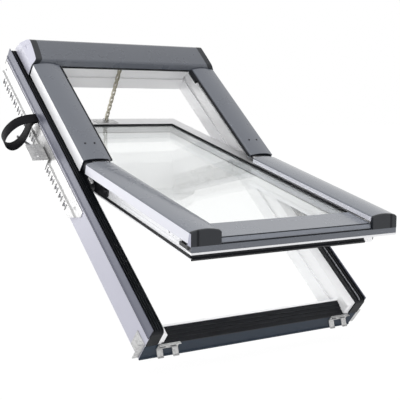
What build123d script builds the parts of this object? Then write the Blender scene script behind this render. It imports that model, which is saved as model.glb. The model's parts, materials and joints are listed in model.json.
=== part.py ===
from build123d import *
import os
from math import atan2, cos, degrees, radians, sin

os.makedirs("parts", exist_ok=True)

# Driving dimensions, in millimetres and degrees
# Everything is drawn in the plane of the window: x runs across it, y up the slope and z
# outwards, with z = 0 at the top of the side covers and y = 0 where the covers divide.
frame_width = 740
frame_length = 1180
frame_depth = 165
roof_pitch = 40
opening_angle = 25.8
pivot_y = -26
pivot_z = -60
sheet = 2
sides = {"left": -1, "right": 1}

# The fixed frame
half_width = frame_width / 2
half_length = frame_length / 2
room_side = -frame_depth
side_top = -60
side_inner = 316
side_shoulder = 336
shoulder_z = -74
groove_top = -104
groove_bottom = -122
groove_depth = 6
head_inner = 545
head_top = -16
head_chamfer = 20
sill_inner = -542
sill_lip_inner = -548
sill_lip_top = -94
sill_slope_top = -99
sill_slope_bottom = -110

# The sash, in its closed place
sash_half_width = 310
sash_top = 540
sash_bottom = -574
sash_outer = -21
sash_inner = -92
lip_depth = 3.5
glass_half_width = 257
glass_top = 463
glass_bottom = -518
glass_outer = -26
pane_thickness = 4
unit_thickness = 28

# The covers
cover_outer = 348
cover_inner = 257
cover_crown = 5
cover_gap = 2
upper_cover_end = 451
upper_flank = -44
lower_flank = -31
lower_cover_start = -44
lower_cover_end = -604
cap_bottom = -35
front_top = -611
front_lean = 0.24

# The hood
hood_front = 454
hood_bottom = -7
hood_half_width = 330
hood_cap_width = 22
hood_lean = 0.6

# The chain drive
chain_pitch = 15
chain_pin_radius = 2.2
chain_links = 17
anchor_y = 498
anchor_z = -14

# The places of the two bodies: the window lies in a slope, and the sash is turned in it
origin_y = -565
window_place = Rotation(roof_pitch, 0, 0) * Location((0, -origin_y, -room_side))
sash_place = (
    window_place
    * Location((0, pivot_y, pivot_z))
    * Rotation(-opening_angle, 0, 0)
    * Location((0, -pivot_y, -pivot_z))
)


def section_at(y):
    """The plane of a section across the slope, which extrudes down the slope."""
    return Plane(origin=(0, y, 0), x_dir=(1, 0, 0), z_dir=(0, -1, 0))


def profile_at(x):
    """The plane of a section up the slope, which extrudes to the right."""
    return Plane(origin=(x, 0, 0), x_dir=(0, 1, 0), z_dir=(1, 0, 0))


def level(z):
    """A plane parallel to the window, which extrudes outwards."""
    return Plane(origin=(0, 0, z))


def write(piece, name, place):
    """Label a finished piece and write it out in its place in the roof."""
    piece.part.label = name
    placed = piece.part.moved(place)
    placed.label = name
    export_step(placed, f"parts/{name}.step")


def pair(make):
    """The left and the right one of a small piece, as two separate solids."""
    pieces = [make(side).part for side in sides.values()]
    with BuildPart() as both:
        add(pieces)
    return both


def front_at(z):
    """How far down the slope the leaning front of the sash's lower end reaches at a height."""
    return front_top + front_lean * z


def turned(y, z):
    """Where a point of the closed sash stands when the sash is open."""
    angle = radians(opening_angle)
    dy = y - pivot_y
    dz = z - pivot_z
    return (
        pivot_y + dy * cos(angle) + dz * sin(angle),
        pivot_z - dy * sin(angle) + dz * cos(angle),
    )


# The frame: two sides, a head and a sill, in white moulded profile
def frame_side(side):
    """A frame side with its sloped shoulder and the lining groove in its inner face."""
    outline = [
        (side * half_width, room_side),
        (side * half_width, side_top),
        (side * side_shoulder, side_top),
        (side * side_inner, shoulder_z),
        (side * side_inner, groove_top),
        (side * (side_inner + groove_depth), groove_top),
        (side * (side_inner + groove_depth), groove_bottom),
        (side * side_inner, groove_bottom),
        (side * side_inner, room_side),
    ]
    with BuildPart() as member:
        with BuildSketch(section_at(half_length)):
            Polygon(*outline, align=None)
        extrude(amount=frame_length)
    return member


def cross_member(outline):
    """A frame member that runs between the two sides."""
    with BuildPart() as member:
        with BuildSketch(profile_at(-side_inner)):
            Polygon(*outline, align=None)
        extrude(amount=2 * side_inner)
    return member


head_outline = [
    (half_length, room_side),
    (half_length, head_top - head_chamfer * 2),
    (half_length - head_chamfer, head_top),
    (head_inner, head_top),
    (head_inner, groove_top),
    (head_inner + groove_depth, groove_top),
    (head_inner + groove_depth, groove_bottom),
    (head_inner, groove_bottom),
    (head_inner, room_side),
]
sill_outline = [
    (-half_length, room_side),
    (-half_length, sill_slope_bottom),
    (sill_lip_inner, sill_slope_top),
    (sill_lip_inner, sill_lip_top),
    (sill_inner, sill_lip_top),
    (sill_inner, groove_top),
    (sill_inner - groove_depth, groove_top),
    (sill_inner - groove_depth, groove_bottom),
    (sill_inner, groove_bottom),
    (sill_inner, room_side),
]
for name, side in sides.items():
    write(frame_side(side), f"frame_side_{name}", window_place)
write(cross_member(head_outline), "frame_head", window_place)
write(cross_member(sill_outline), "frame_sill", window_place)


# The metal flange strips on the outside of the frame, with a small drip at their foot
strip_thickness = 2
strip_top = -44
strip_foot = -72
drip_reach = 2


def flange_strip(side):
    outline = [
        (side * half_width, strip_top),
        (side * (half_width + strip_thickness), strip_top),
        (side * (half_width + strip_thickness), strip_foot),
        (side * (half_width + strip_thickness + drip_reach), strip_foot - drip_reach),
        (side * (half_width + strip_thickness + drip_reach), strip_foot - 2 * drip_reach),
        (side * half_width, strip_foot - drip_reach),
    ]
    with BuildPart() as strip:
        with BuildSketch(section_at(half_length)):
            Polygon(*outline, align=None)
        extrude(amount=frame_length)
    return strip


for name, side in sides.items():
    write(flange_strip(side), f"flange_strip_{name}", window_place)

# The sheet that covers the front of the sill, with a hem at its foot
cladding_hem = 7
hem_bend = 1
with BuildPart() as sill_cladding:
    with BuildSketch(profile_at(-half_width)):
        with BuildLine():
            Polyline(
                (-half_length, sill_slope_bottom),
                (-half_length - sheet, sill_slope_bottom),
                (-half_length - sheet, room_side + cladding_hem),
                (-half_length - 2 * sheet, room_side + cladding_hem - hem_bend),
                (-half_length - 2 * sheet, room_side),
                (-half_length, room_side),
                close=True,
            )
        make_face()
    extrude(amount=frame_width)
write(sill_cladding, "sill_cladding", window_place)

# The black gaskets on top of the sides: long fins, and a rounded drop at each end
gasket_top = -48
gasket_end_drop = 46
gasket_end_reach = 4
gasket_corner = 14
fin_count = 4
fin_gap = 4
fin_depth = 5
fin_edge = 0.5
gasket_width = half_width - side_shoulder
fin_pitch = gasket_width / (fin_count + fin_edge)


def side_gasket(side):
    """A finned strip whose rounded ends turn down over the ends of the frame side."""
    end = half_length + gasket_end_reach
    low = side_top - gasket_end_drop
    with BuildPart() as gasket:
        with BuildSketch(profile_at(side_shoulder if side > 0 else -half_width)) as run:
            with BuildLine():
                Polyline(
                    (-half_length, side_top),
                    (-half_length, low),
                    (-end, low),
                    (-end, gasket_top),
                    (end, gasket_top),
                    (end, low),
                    (half_length, low),
                    (half_length, side_top),
                    close=True,
                )
            make_face()
            outer_corners = run.vertices().group_by(Axis.Y)[-1]
            fillet(outer_corners, radius=gasket_corner)
        extrude(amount=gasket_width)
        with BuildSketch(level(gasket_top)):
            for index in range(fin_count):
                x = side_shoulder + fin_pitch * (index + (1 + fin_edge) / 2)
                with Locations((side * x, 0)):
                    Rectangle(fin_gap, 2 * end)
        extrude(amount=-fin_depth, mode=Mode.SUBTRACT)
    return gasket


for name, side in sides.items():
    write(side_gasket(side), f"side_gasket_{name}", window_place)

# The black gasket on the slope of the sill, with three ribs that stop driven rain
sill_gasket_thickness = 3
rib_width = 3
rib_height = 1.5
rib_shares = (0.2, 0.45, 0.7)
sill_slope_run = sill_lip_inner + half_length
sill_slope_rise = sill_slope_top - sill_slope_bottom


def sill_slope(share):
    return (
        -half_length + share * sill_slope_run,
        sill_slope_bottom + share * sill_slope_rise,
    )


with BuildPart() as sill_gasket:
    with BuildSketch(profile_at(-side_inner)):
        with BuildLine():
            low_y, low_z = sill_slope(0)
            high_y, high_z = sill_slope(1)
            Polyline(
                (low_y, low_z),
                (high_y, high_z),
                (high_y, high_z + sill_gasket_thickness),
                (low_y - gasket_end_reach, low_z + sill_gasket_thickness),
                (low_y - gasket_end_reach, low_z),
                close=True,
            )
        make_face()
        for share in rib_shares:
            rib_y, rib_z = sill_slope(share)
            with Locations((rib_y, rib_z + sill_gasket_thickness)):
                Rectangle(rib_width, 2 * rib_height)
    extrude(amount=2 * side_inner)
write(sill_gasket, "sill_gasket", window_place)


# The arched side covers, folded from sheet, on the frame above the pivot and on the sash below
cover_middle = (cover_outer + cover_inner) / 2
cover_fold = 4
fold_radius = 6
inner_leg = -16


def cover_line(side, inset, flank):
    """Draw a cover's section: inner leg, arched top, fold and outer flank."""
    outer = cover_outer - inset
    inner = cover_inner + inset
    leg = Line((side * inner, inner_leg), (side * inner, -cover_fold))
    arch = ThreePointArc(
        (side * (inner + cover_fold), -inset),
        (side * cover_middle, cover_crown - inset),
        (side * (outer - cover_fold), -inset),
    )
    RadiusArc(leg @ 1, arch @ 0, side * fold_radius)
    fold = Line((side * outer, -cover_fold - inset), (side * outer, flank))
    RadiusArc(arch @ 1, fold @ 0, side * fold_radius)
    return leg, fold


def side_cover(side, top, bottom, flank):
    """A folded cover between two heights of the slope."""
    with BuildPart() as cover:
        with BuildSketch(section_at(top)):
            with BuildLine():
                outer_leg, outer_fold = cover_line(side, 0, flank)
                inner_leg_line, inner_fold = cover_line(side, sheet, flank)
                Line(outer_leg @ 0, inner_leg_line @ 0)
                Line(outer_fold @ 1, inner_fold @ 1)
            make_face()
        extrude(amount=top - bottom)
    return cover


for name, side in sides.items():
    upper = side_cover(side, upper_cover_end, cover_gap, upper_flank)
    lower = side_cover(side, lower_cover_start, lower_cover_end, lower_flank)
    write(upper, f"upper_cover_{name}", window_place)
    write(lower, f"lower_cover_{name}", sash_place)


# The moulded caps that close the lower covers, with a rubber strip let in near their outer edge
cap_reach = 20
cap_edge = 2
cap_joint_x = 327
cap_joint_width = 8
cap_joint_depth = 3
cap_joint_gap = 0.2


def front_wedge(depth):
    """The space behind the leaning front, down to a depth under it."""
    high = 2 * cover_crown
    with BuildSketch(profile_at(-cover_outer)) as wedge:
        Polygon(
            (lower_cover_end, high),
            (front_at(high) + depth, high),
            (front_at(cap_bottom) + depth, cap_bottom),
            (lower_cover_end, cap_bottom),
            align=None,
        )
    return wedge


def cap_body(side):
    with BuildPart() as body:
        with BuildSketch(section_at(lower_cover_end)):
            with BuildLine():
                ThreePointArc(
                    (side * (cover_inner + cover_fold), 0),
                    (side * cover_middle, cover_crown),
                    (side * (cover_outer - cover_fold), 0),
                )
                Polyline(
                    (side * (cover_outer - cover_fold), 0),
                    (side * cover_outer, -cover_fold),
                    (side * cover_outer, cap_bottom),
                    (side * cover_inner, cap_bottom),
                    (side * cover_inner, -cover_fold),
                    (side * (cover_inner + cover_fold), 0),
                )
            make_face()
        extrude(amount=cap_reach)
        extrude(front_wedge(0).sketch, amount=2 * cover_outer, mode=Mode.INTERSECT)
        front = body.faces().sort_by(Axis.Y)[0]
        chamfer(front.edges().group_by(Axis.Z)[-1], length=cap_edge)
    return body


def cap_groove(side, gap):
    """The groove in a cap's front, or with a gap the strip that lies in it."""
    with BuildPart() as groove:
        with BuildSketch(section_at(lower_cover_end)):
            with Locations((side * cap_joint_x, cap_bottom / 2)):
                Rectangle(cap_joint_width - gap, -2 * cap_bottom)
        extrude(amount=cap_reach)
        extrude(
            front_wedge(cap_joint_depth).sketch,
            amount=2 * cover_outer,
            mode=Mode.SUBTRACT,
        )
    return groove


def cover_cap(side):
    with BuildPart() as cap:
        add(cap_body(side).part)
        add(cap_groove(side, 0).part, mode=Mode.SUBTRACT)
    return cap


def cap_seal(side):
    with BuildPart() as seal:
        add(cap_body(side).part)
        add(cap_groove(side, cap_joint_gap).part, mode=Mode.INTERSECT)
    return seal


for name, side in sides.items():
    write(cover_cap(side), f"lower_cover_cap_{name}", sash_place)
write(pair(cap_seal), "cap_joint_seals", sash_place)

# The bottom cover of the sash: a flat top plate that turns down over the front
bottom_cover_top = -19
bottom_cover_front = -608
bottom_cover_gap = 3
bottom_cover_fall = 1
bottom_cover_step = 3
front_recess = 6
with BuildPart() as bottom_cover:
    with BuildSketch(profile_at(-cover_inner + bottom_cover_gap)):
        with BuildLine():
            Polyline(
                (glass_bottom, sash_outer),
                (glass_bottom, bottom_cover_top),
                (bottom_cover_front + 2 * sheet, bottom_cover_top - bottom_cover_fall),
                (bottom_cover_front, bottom_cover_top - 2 * sheet),
                (front_at(cap_bottom) + front_recess, cap_bottom),
                (front_at(cap_bottom) + front_recess + sheet, cap_bottom),
                (bottom_cover_front + sheet, sash_outer - bottom_cover_step),
                (sash_bottom, sash_outer),
                close=True,
            )
        make_face()
    extrude(amount=2 * (cover_inner - bottom_cover_gap))
write(bottom_cover, "bottom_cover", sash_place)

# The apron under it, which runs below both caps, and the bright drip strip on its foot
apron_half_width = cover_outer - 1
apron_back = -598
apron_foot = -49
with BuildPart() as front_apron:
    with BuildSketch(profile_at(-apron_half_width)):
        with BuildLine():
            Polyline(
                (apron_back, cap_bottom),
                (front_at(cap_bottom), cap_bottom),
                (front_at(apron_foot), apron_foot),
                (front_at(apron_foot) + sheet, apron_foot),
                (front_at(cap_bottom) + sheet, cap_bottom - sheet),
                (apron_back, cap_bottom - sheet),
                close=True,
            )
        make_face()
    extrude(amount=2 * apron_half_width)
write(front_apron, "front_apron", sash_place)

drip_height = 5.5
drip_back = 1.5
drip_front = 1
with BuildPart() as drip_strip:
    with BuildSketch(profile_at(-apron_half_width)):
        with BuildLine():
            Polyline(
                (front_at(apron_foot) - drip_front, apron_foot),
                (apron_back, apron_foot),
                (apron_back, apron_foot - drip_back),
                (front_at(apron_foot) + drip_back, apron_foot - drip_height),
                (front_at(apron_foot) - drip_front, apron_foot - drip_height),
                close=True,
            )
        make_face()
    extrude(amount=2 * apron_half_width)
write(drip_strip, "drip_strip", sash_place)

# The black seal on the front of the sash, below the drip strip, cut at a slant on the right
front_seal_thickness = 3
front_seal_end = 280
front_seal_slant = 22
seal_lip_reach = 4
seal_lip_middle = 6
seal_lip_top = 10
with BuildPart() as front_seal:
    with BuildSketch(profile_at(-sash_half_width)):
        with BuildLine():
            face_y = sash_bottom - front_seal_thickness
            Polyline(
                (sash_bottom, apron_foot),
                (sash_bottom, sash_inner),
                (face_y, sash_inner),
                (face_y - seal_lip_reach, sash_inner + seal_lip_middle),
                (face_y, sash_inner + seal_lip_top),
                (face_y, apron_foot),
                close=True,
            )
        make_face()
    extrude(amount=sash_half_width + front_seal_end)
    with BuildSketch(section_at(sash_bottom)):
        Polygon(
            (front_seal_end, sash_inner),
            (front_seal_end, apron_foot),
            (front_seal_end - front_seal_slant, apron_foot),
            align=None,
        )
    extrude(amount=2 * (front_seal_thickness + seal_lip_reach), mode=Mode.SUBTRACT)
write(front_seal, "front_seal", sash_place)

# The hood over the head of the frame: a lip, a crowned top and a back that slopes to its foot
hood_lip = (hood_front, hood_bottom)
hood_brow = (460.5, 13.5)
hood_crown = (512, 21.5)
hood_shoulder = (556, 24.5)
hood_heel = (592, -46)
hood_foot = (592, -58)
hood_radii = (9, 500, 20)
heel_radius = 6
end_core = 290
end_rise = 50


def end_line(half, side):
    """The line of a hood end: upright below the lip, and leaning inwards above it."""
    return [
        (side * half, hood_foot[1]),
        (side * half, hood_bottom),
        (side * (half - hood_lean * end_rise), hood_bottom + end_rise),
    ]


with BuildPart() as hood:
    with BuildSketch(profile_at(-hood_half_width)):
        with BuildLine():
            FilletPolyline(
                hood_lip,
                hood_brow,
                hood_crown,
                hood_shoulder,
                hood_heel,
                hood_foot,
                radius=(*hood_radii, heel_radius),
            )
            offset(amount=sheet, side=Side.RIGHT)
        make_face()
    extrude(amount=2 * hood_half_width)
    with BuildSketch(section_at(hood_heel[0])):
        Polygon(
            *end_line(hood_half_width, -1),
            *end_line(hood_half_width, 1)[::-1],
            align=None,
        )
    extrude(amount=hood_heel[0] - hood_front, mode=Mode.INTERSECT)
write(hood, "hood", window_place)

# The moulded ends of the hood, each with a plate let into its leaning outer face
plate_depth = 2
plate_gap = 0.15
plate_front = 457.5
plate_foot = -42
plate_brow = (464, 10)
plate_top = (536, 20)
plate_back = (545, -2)
plate_heel = 531
plate_slot = (16, 1.6)
plate_slot_middle = (535, 4)


def hood_section(x):
    """A filled section of the hood, cut level at its heel."""
    with BuildSketch(profile_at(x)) as section:
        with BuildLine():
            FilletPolyline(
                hood_lip, hood_brow, hood_crown, hood_shoulder, hood_heel, radius=hood_radii
            )
            Polyline(hood_heel, (hood_front, hood_heel[1]), hood_lip)
        make_face()
    return section


def plate_section(x, spread):
    """The plate's outline: straight along the front and the top, and curved at the back."""
    with BuildSketch(profile_at(x)) as section:
        with BuildLine():
            Polyline(
                (plate_heel, plate_foot),
                (plate_front, plate_foot),
                (plate_front, hood_bottom),
                plate_brow,
                plate_top,
            )
            ThreePointArc(plate_top, plate_back, (plate_heel, plate_foot))
        make_face()
        offset(amount=spread)
    return section


def end_layer(side, face, depth):
    """What an outline cuts from the layer of a depth under the hood's leaning end face."""
    outer = hood_half_width + hood_cap_width
    with BuildPart() as layer:
        extrude(face.sketch, amount=side * (outer - end_core))
        with BuildSketch(section_at(hood_heel[0])):
            Polygon(*end_line(outer - depth, side), *end_line(outer, side)[::-1], align=None)
        extrude(amount=hood_heel[0] - hood_front, mode=Mode.INTERSECT)
    return layer


def hood_end_cap(side):
    core_x = side * end_core
    with BuildPart() as cap:
        add(end_layer(side, hood_section(core_x), hood_cap_width).part)
        recess = end_layer(side, plate_section(core_x, plate_gap), plate_depth)
        add(recess.part, mode=Mode.SUBTRACT)
    return cap


def hood_end_plate(side):
    core_x = side * end_core
    with BuildPart() as plate:
        add(end_layer(side, plate_section(core_x, -plate_gap), plate_depth).part)
        with BuildSketch(profile_at(core_x)):
            with Locations(plate_slot_middle):
                Rectangle(*plate_slot)
        extrude(amount=side * (hood_half_width + hood_cap_width - end_core), mode=Mode.SUBTRACT)
    return plate


for name, side in sides.items():
    write(hood_end_cap(side), f"hood_end_cap_{name}", window_place)
write(pair(hood_end_plate), "hood_end_plates", window_place)

# The black seal under the hood's lip
hood_seal_depth = 8
hood_seal_height = 9
hood_seal_gap = 0.1
hood_seal_middle = hood_front + sheet + hood_seal_gap + hood_seal_depth / 2
with BuildPart() as hood_seal:
    with BuildSketch(profile_at(-hood_half_width)):
        with Locations((hood_seal_middle, hood_bottom - hood_seal_height / 2)):
            Rectangle(hood_seal_depth, hood_seal_height)
    extrude(amount=2 * hood_half_width)
write(hood_seal, "hood_seal", window_place)

# The carriers that hold the upper covers, standing on the sloped shoulders of the sides
carrier_outer = 334
carrier_inner = 320
carrier_top = -0.5
carrier_length = 22
carrier_heights = (180, 310, 420)
shoulder_slope = (side_top - shoulder_z) / (side_shoulder - side_inner)
screw_carrier_y = 69
screw_carrier_inner = 276
screw_carrier_foot = -13


def shoulder_height(x):
    return side_top - (side_shoulder - x) * shoulder_slope


def upper_carriers(side):
    """Three plain posts and, at the lower end, one with an arm for the two cover screws."""
    post = [
        (side * carrier_inner, shoulder_height(carrier_inner)),
        (side * carrier_outer, shoulder_height(carrier_outer)),
        (side * carrier_outer, carrier_top),
        (side * carrier_inner, carrier_top),
    ]
    with BuildPart() as carriers:
        for y in carrier_heights:
            with BuildSketch(section_at(y + carrier_length / 2)):
                Polygon(*post, align=None)
            extrude(amount=carrier_length)
        with BuildSketch(section_at(screw_carrier_y + carrier_length / 2)):
            Polygon(*post, align=None)
            Polygon(
                (side * screw_carrier_inner, screw_carrier_foot),
                (side * carrier_outer, screw_carrier_foot),
                (side * carrier_outer, carrier_top),
                (side * screw_carrier_inner, carrier_top),
                align=None,
            )
        extrude(amount=carrier_length)
    return carriers


write(pair(upper_carriers), "cover_carriers", window_place)

# The spacers between the sash and the lower covers
sash_spacer_width = 30
sash_spacer_top = -1.5
sash_spacer_places = (-110, -300, -500)
sash_spacer_x = 287


def sash_spacers(side):
    with BuildPart() as spacers:
        with BuildSketch(level(sash_outer)):
            for y in sash_spacer_places:
                with Locations((side * sash_spacer_x, y)):
                    Rectangle(sash_spacer_width, carrier_length)
        extrude(amount=sash_spacer_top - sash_outer)
    return spacers


write(pair(sash_spacers), "cover_spacers", sash_place)

# The cover screws: two in each upper cover, seen on the outside
screw_head_radius = 3.2
screw_head_height = 1.6
screw_head_taper = 25
screw_clear = 0.3
screw_places = (287, 318)


def cover_height(x):
    """The top of a cover's arch above the plane of the covers."""
    half = (cover_outer - cover_inner) / 2 - cover_fold
    radius = (half**2 + cover_crown**2) / (2 * cover_crown)
    offset_x = abs(x) - cover_middle
    return cover_crown - radius + (radius**2 - offset_x**2) ** 0.5


with BuildPart() as cover_screws:
    for side in sides.values():
        for x in screw_places:
            with BuildSketch(level(cover_height(x) + screw_clear)):
                with Locations((side * x, screw_carrier_y)):
                    Circle(screw_head_radius)
            extrude(amount=screw_head_height, taper=screw_head_taper)
write(cover_screws, "cover_screws", window_place)


# The sash: two stiles and two rails, mitred at the corners, with a rebate for the glass
lip_inner = 5
rebate = 13.5
bead = -5
inner_seal_height = 3
bead_top = glass_outer - unit_thickness - inner_seal_height


def ring(low, high, inset):
    """A flat rectangular ring of the sash, whose inner edge is set back from the glass line."""
    with BuildSketch(level(low)) as face:
        with Locations((0, (sash_top + sash_bottom) / 2)):
            Rectangle(2 * sash_half_width, sash_top - sash_bottom)
        with Locations((0, (glass_top + glass_bottom) / 2)):
            Rectangle(
                2 * (glass_half_width + inset),
                glass_top - glass_bottom + 2 * inset,
                mode=Mode.SUBTRACT,
            )
    extrude(face.sketch, amount=high - low)


mitre_reach = 120
mitre_shares = {"top": sash_top - glass_top, "bottom": glass_bottom - sash_bottom}


def mitre(end, side):
    """The line of a corner's mitre, from the outer corner towards the middle of the glass."""
    corner_y = sash_top if end == "top" else sash_bottom
    along = mitre_reach * mitre_shares[end] / (sash_half_width - glass_half_width)
    inward = -along if end == "top" else along
    return [
        (side * sash_half_width, corner_y),
        (side * (sash_half_width - mitre_reach), corner_y + inward),
    ]


stile_holes = ((-206, -59, 2), (-461, -56, 3.6), (-481, -59, 2))
stile_hole_depth = 8
stile_grooves = (-52, -65, -74)
stile_groove_width = 1.4
stile_groove_depth = 1


def sash_member(cut):
    """One member of the sash, cut from the full ring by the outline given."""
    with BuildPart() as member:
        ring(sash_inner, bead_top, bead)
        ring(bead_top, sash_outer - lip_depth, rebate)
        ring(sash_outer - lip_depth, sash_outer, lip_inner)
        with BuildSketch(level(sash_inner)):
            Polygon(*cut, align=None)
        extrude(amount=sash_outer - sash_inner, mode=Mode.INTERSECT)
    return member


def stile(side):
    """A sash stile, with three small holes and three fine grooves in its outer face."""
    top_line = mitre("top", side)
    bottom_line = mitre("bottom", side)
    plain_member = sash_member(top_line + bottom_line[::-1]).part
    with BuildPart() as member:
        add(plain_member)
        with BuildSketch(profile_at(side * sash_half_width)):
            for y, z, radius in stile_holes:
                with Locations((y, z)):
                    Circle(radius)
        extrude(amount=-side * stile_hole_depth, mode=Mode.SUBTRACT)
        with BuildSketch(section_at(sash_top)):
            for z in stile_grooves:
                with Locations((side * sash_half_width, z)):
                    Rectangle(2 * stile_groove_depth, stile_groove_width)
        extrude(amount=sash_top - sash_bottom, mode=Mode.SUBTRACT)
    return member


def rail(end):
    left_line = mitre(end, -1)
    right_line = mitre(end, 1)
    return sash_member(left_line + right_line[::-1])


for name, side in sides.items():
    write(stile(side), f"sash_stile_{name}", sash_place)
write(rail("top"), "sash_top_rail", sash_place)
write(rail("bottom"), "sash_bottom_rail", sash_place)

# The sealed glass unit: two panes and the hollow bar between them
pane_edge = 11
spacer_in = 9
spacer_out = 5


def pane(top):
    with BuildPart() as sheet_of_glass:
        with BuildSketch(level(top - pane_thickness)):
            with Locations((0, (glass_top + glass_bottom) / 2)):
                Rectangle(
                    2 * (glass_half_width + pane_edge),
                    glass_top - glass_bottom + 2 * pane_edge,
                )
        extrude(amount=pane_thickness)
    return sheet_of_glass


write(pane(glass_outer), "outer_pane", sash_place)
write(pane(glass_outer - unit_thickness + pane_thickness), "inner_pane", sash_place)


def glass_ring(low, high, outer, inner):
    """A rectangular ring round the glass line, between two outsets from it."""
    with BuildPart() as band:
        with BuildSketch(level(low)):
            with Locations((0, (glass_top + glass_bottom) / 2)):
                Rectangle(
                    2 * (glass_half_width + outer),
                    glass_top - glass_bottom + 2 * outer,
                )
                Rectangle(
                    2 * (glass_half_width + inner),
                    glass_top - glass_bottom + 2 * inner,
                    mode=Mode.SUBTRACT,
                )
        extrude(amount=high - low)
    return band


spacer_bottom = glass_outer - unit_thickness + pane_thickness
outer_seal_top = sash_outer - 0.5
inner_seal_lip = -2
write(
    glass_ring(spacer_bottom, glass_outer - pane_thickness, spacer_out, -spacer_in),
    "glass_spacer_bar",
    sash_place,
)
write(glass_ring(glass_outer, outer_seal_top, lip_inner, 0), "outer_glazing_seal", sash_place)
write(
    glass_ring(bead_top, glass_outer - unit_thickness, pane_edge, inner_seal_lip),
    "inner_glazing_seal",
    sash_place,
)

# The rubber seal round the outside of the sash
seal_reach = 3
seal_low = -86
seal_high = -79
with BuildPart() as sash_seal:
    with BuildSketch(level(seal_low)):
        with Locations((0, (sash_top + seal_reach + sash_bottom) / 2)):
            Rectangle(2 * (sash_half_width + seal_reach), sash_top + seal_reach - sash_bottom)
        with Locations((0, (sash_top + sash_bottom) / 2)):
            Rectangle(2 * sash_half_width, sash_top - sash_bottom, mode=Mode.SUBTRACT)
    extrude(amount=seal_high - seal_low)
write(sash_seal, "sash_seal", sash_place)

# The pivot hinges: a pin in a block on the frame's shoulder carries a plate of the sash
pin_radius = 5
pin_clearance = 0.05
pin_inner = 310.2
pin_outer = 326
arm_thickness = 5.6
arm_middle = (-57, -60)
arm_size = (142, 36)
arm_corner = 9
knob_place = (-121, -58)
knob_radius = 6.5
knob_height = 9
block_inner = 319
block_outer = 335
block_top = -46
block_low_end = -60
block_high_end = 56
block_chamfer = 6


def pin_disc(radius):
    with Locations((pivot_y, pivot_z)):
        Circle(radius)


def pivot_block(side):
    """The fixed hinge block, which follows the frame's sloped shoulder."""
    with BuildPart() as block:
        with BuildSketch(section_at(block_high_end)):
            Polygon(
                (side * block_inner, shoulder_height(block_inner)),
                (side * block_outer, shoulder_height(block_outer)),
                (side * block_outer, block_top),
                (side * block_inner, block_top),
                align=None,
            )
        extrude(amount=block_high_end - block_low_end)
        top_edges = block.faces().sort_by(Axis.Z)[-1].edges().filter_by(Axis.X)
        chamfer(top_edges, length=block_chamfer)
        with BuildSketch(profile_at(side * block_inner)):
            pin_disc(pin_radius)
        extrude(amount=side * (pin_outer - block_inner), mode=Mode.SUBTRACT)
    return block


def pivot_pin(side):
    with BuildPart() as pin:
        with BuildSketch(profile_at(side * pin_inner)):
            pin_disc(pin_radius)
        extrude(amount=side * (pin_outer - pin_inner))
    return pin


def pivot_arm(side):
    """The plate on the sash's stile, bored for the pin, with a round knob at its tail."""
    with BuildPart() as arm:
        with BuildSketch(profile_at(side * sash_half_width)):
            with Locations(arm_middle):
                RectangleRounded(*arm_size, arm_corner)
            with Locations((pivot_y, pivot_z)):
                Circle(pin_radius + pin_clearance, mode=Mode.SUBTRACT)
        extrude(amount=side * arm_thickness)
        with BuildSketch(profile_at(side * (sash_half_width + arm_thickness))):
            with Locations(knob_place):
                Circle(knob_radius)
        extrude(amount=side * knob_height)
    return arm


# The white guide bar on top of each hinge block
guide_width = 8
guide_height = 5
guide_length = 24
guide_corner = 2.5
guide_middle = -38


def guide_bar(side):
    with BuildPart() as bar:
        with BuildSketch(level(block_top)):
            with Locations((side * (block_inner + block_outer) / 2, guide_middle)):
                RectangleRounded(guide_width, guide_length, guide_corner)
        extrude(amount=guide_height)
    return bar


# The black moulding that closes the gap between the two covers over the pivot
joint_inner = 262
joint_outer = 343
joint_top = -6
joint_wall = 2.5
joint_foot = -30
joint_high_end = 40
joint_low_end = -36
joint_post = (322, 332)
joint_post_end = 4
joint_plate_inner = 266
joint_plate_outer = 318
joint_plate_thickness = 1.2
joint_plate_end = 1


def pivot_cover(side):
    with BuildPart() as moulding:
        with BuildSketch(section_at(joint_high_end)):
            Polygon(
                (side * joint_inner, joint_top),
                (side * (joint_outer - joint_wall), joint_top),
                (side * joint_outer, joint_top - joint_wall),
                (side * joint_outer, joint_foot),
                (side * (joint_outer - joint_wall), joint_foot),
                (side * (joint_outer - joint_wall), joint_top - joint_wall),
                (side * joint_inner, joint_top - joint_wall),
                align=None,
            )
        extrude(amount=joint_high_end - joint_low_end)
        with BuildSketch(section_at(joint_high_end)):
            Polygon(
                (side * joint_post[0], block_top),
                (side * joint_post[1], block_top),
                (side * joint_post[1], joint_top - joint_wall),
                (side * joint_post[0], joint_top - joint_wall),
                align=None,
            )
        extrude(amount=joint_high_end - joint_post_end)
    return moulding


def joint_plate(side):
    """The bright plate on the moulding, seen between the ends of the two covers."""
    with BuildPart() as plate:
        with BuildSketch(level(joint_top)):
            with BuildLine():
                Polyline(
                    (side * joint_plate_inner, joint_low_end),
                    (side * joint_plate_outer, joint_low_end),
                    (side * joint_plate_outer, joint_plate_end),
                    (side * joint_plate_inner, joint_plate_end),
                    close=True,
                )
            make_face()
        extrude(amount=joint_plate_thickness)
    return plate


for name, side in sides.items():
    write(pivot_block(side), f"pivot_block_{name}", window_place)
    write(pivot_arm(side), f"pivot_arm_{name}", sash_place)
write(pair(pivot_pin), "pivot_pins", window_place)
write(pair(guide_bar), "pivot_guides", window_place)
write(pair(pivot_cover), "pivot_covers", window_place)
write(pair(joint_plate), "joint_plates", window_place)

# The black lock blocks low on the sides of the sash
lock_middle_y = -552
lock_middle_z = -50
lock_length = 38
lock_height = 25
lock_thickness = 14
lock_slot = 6
lock_corner = 2


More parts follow.
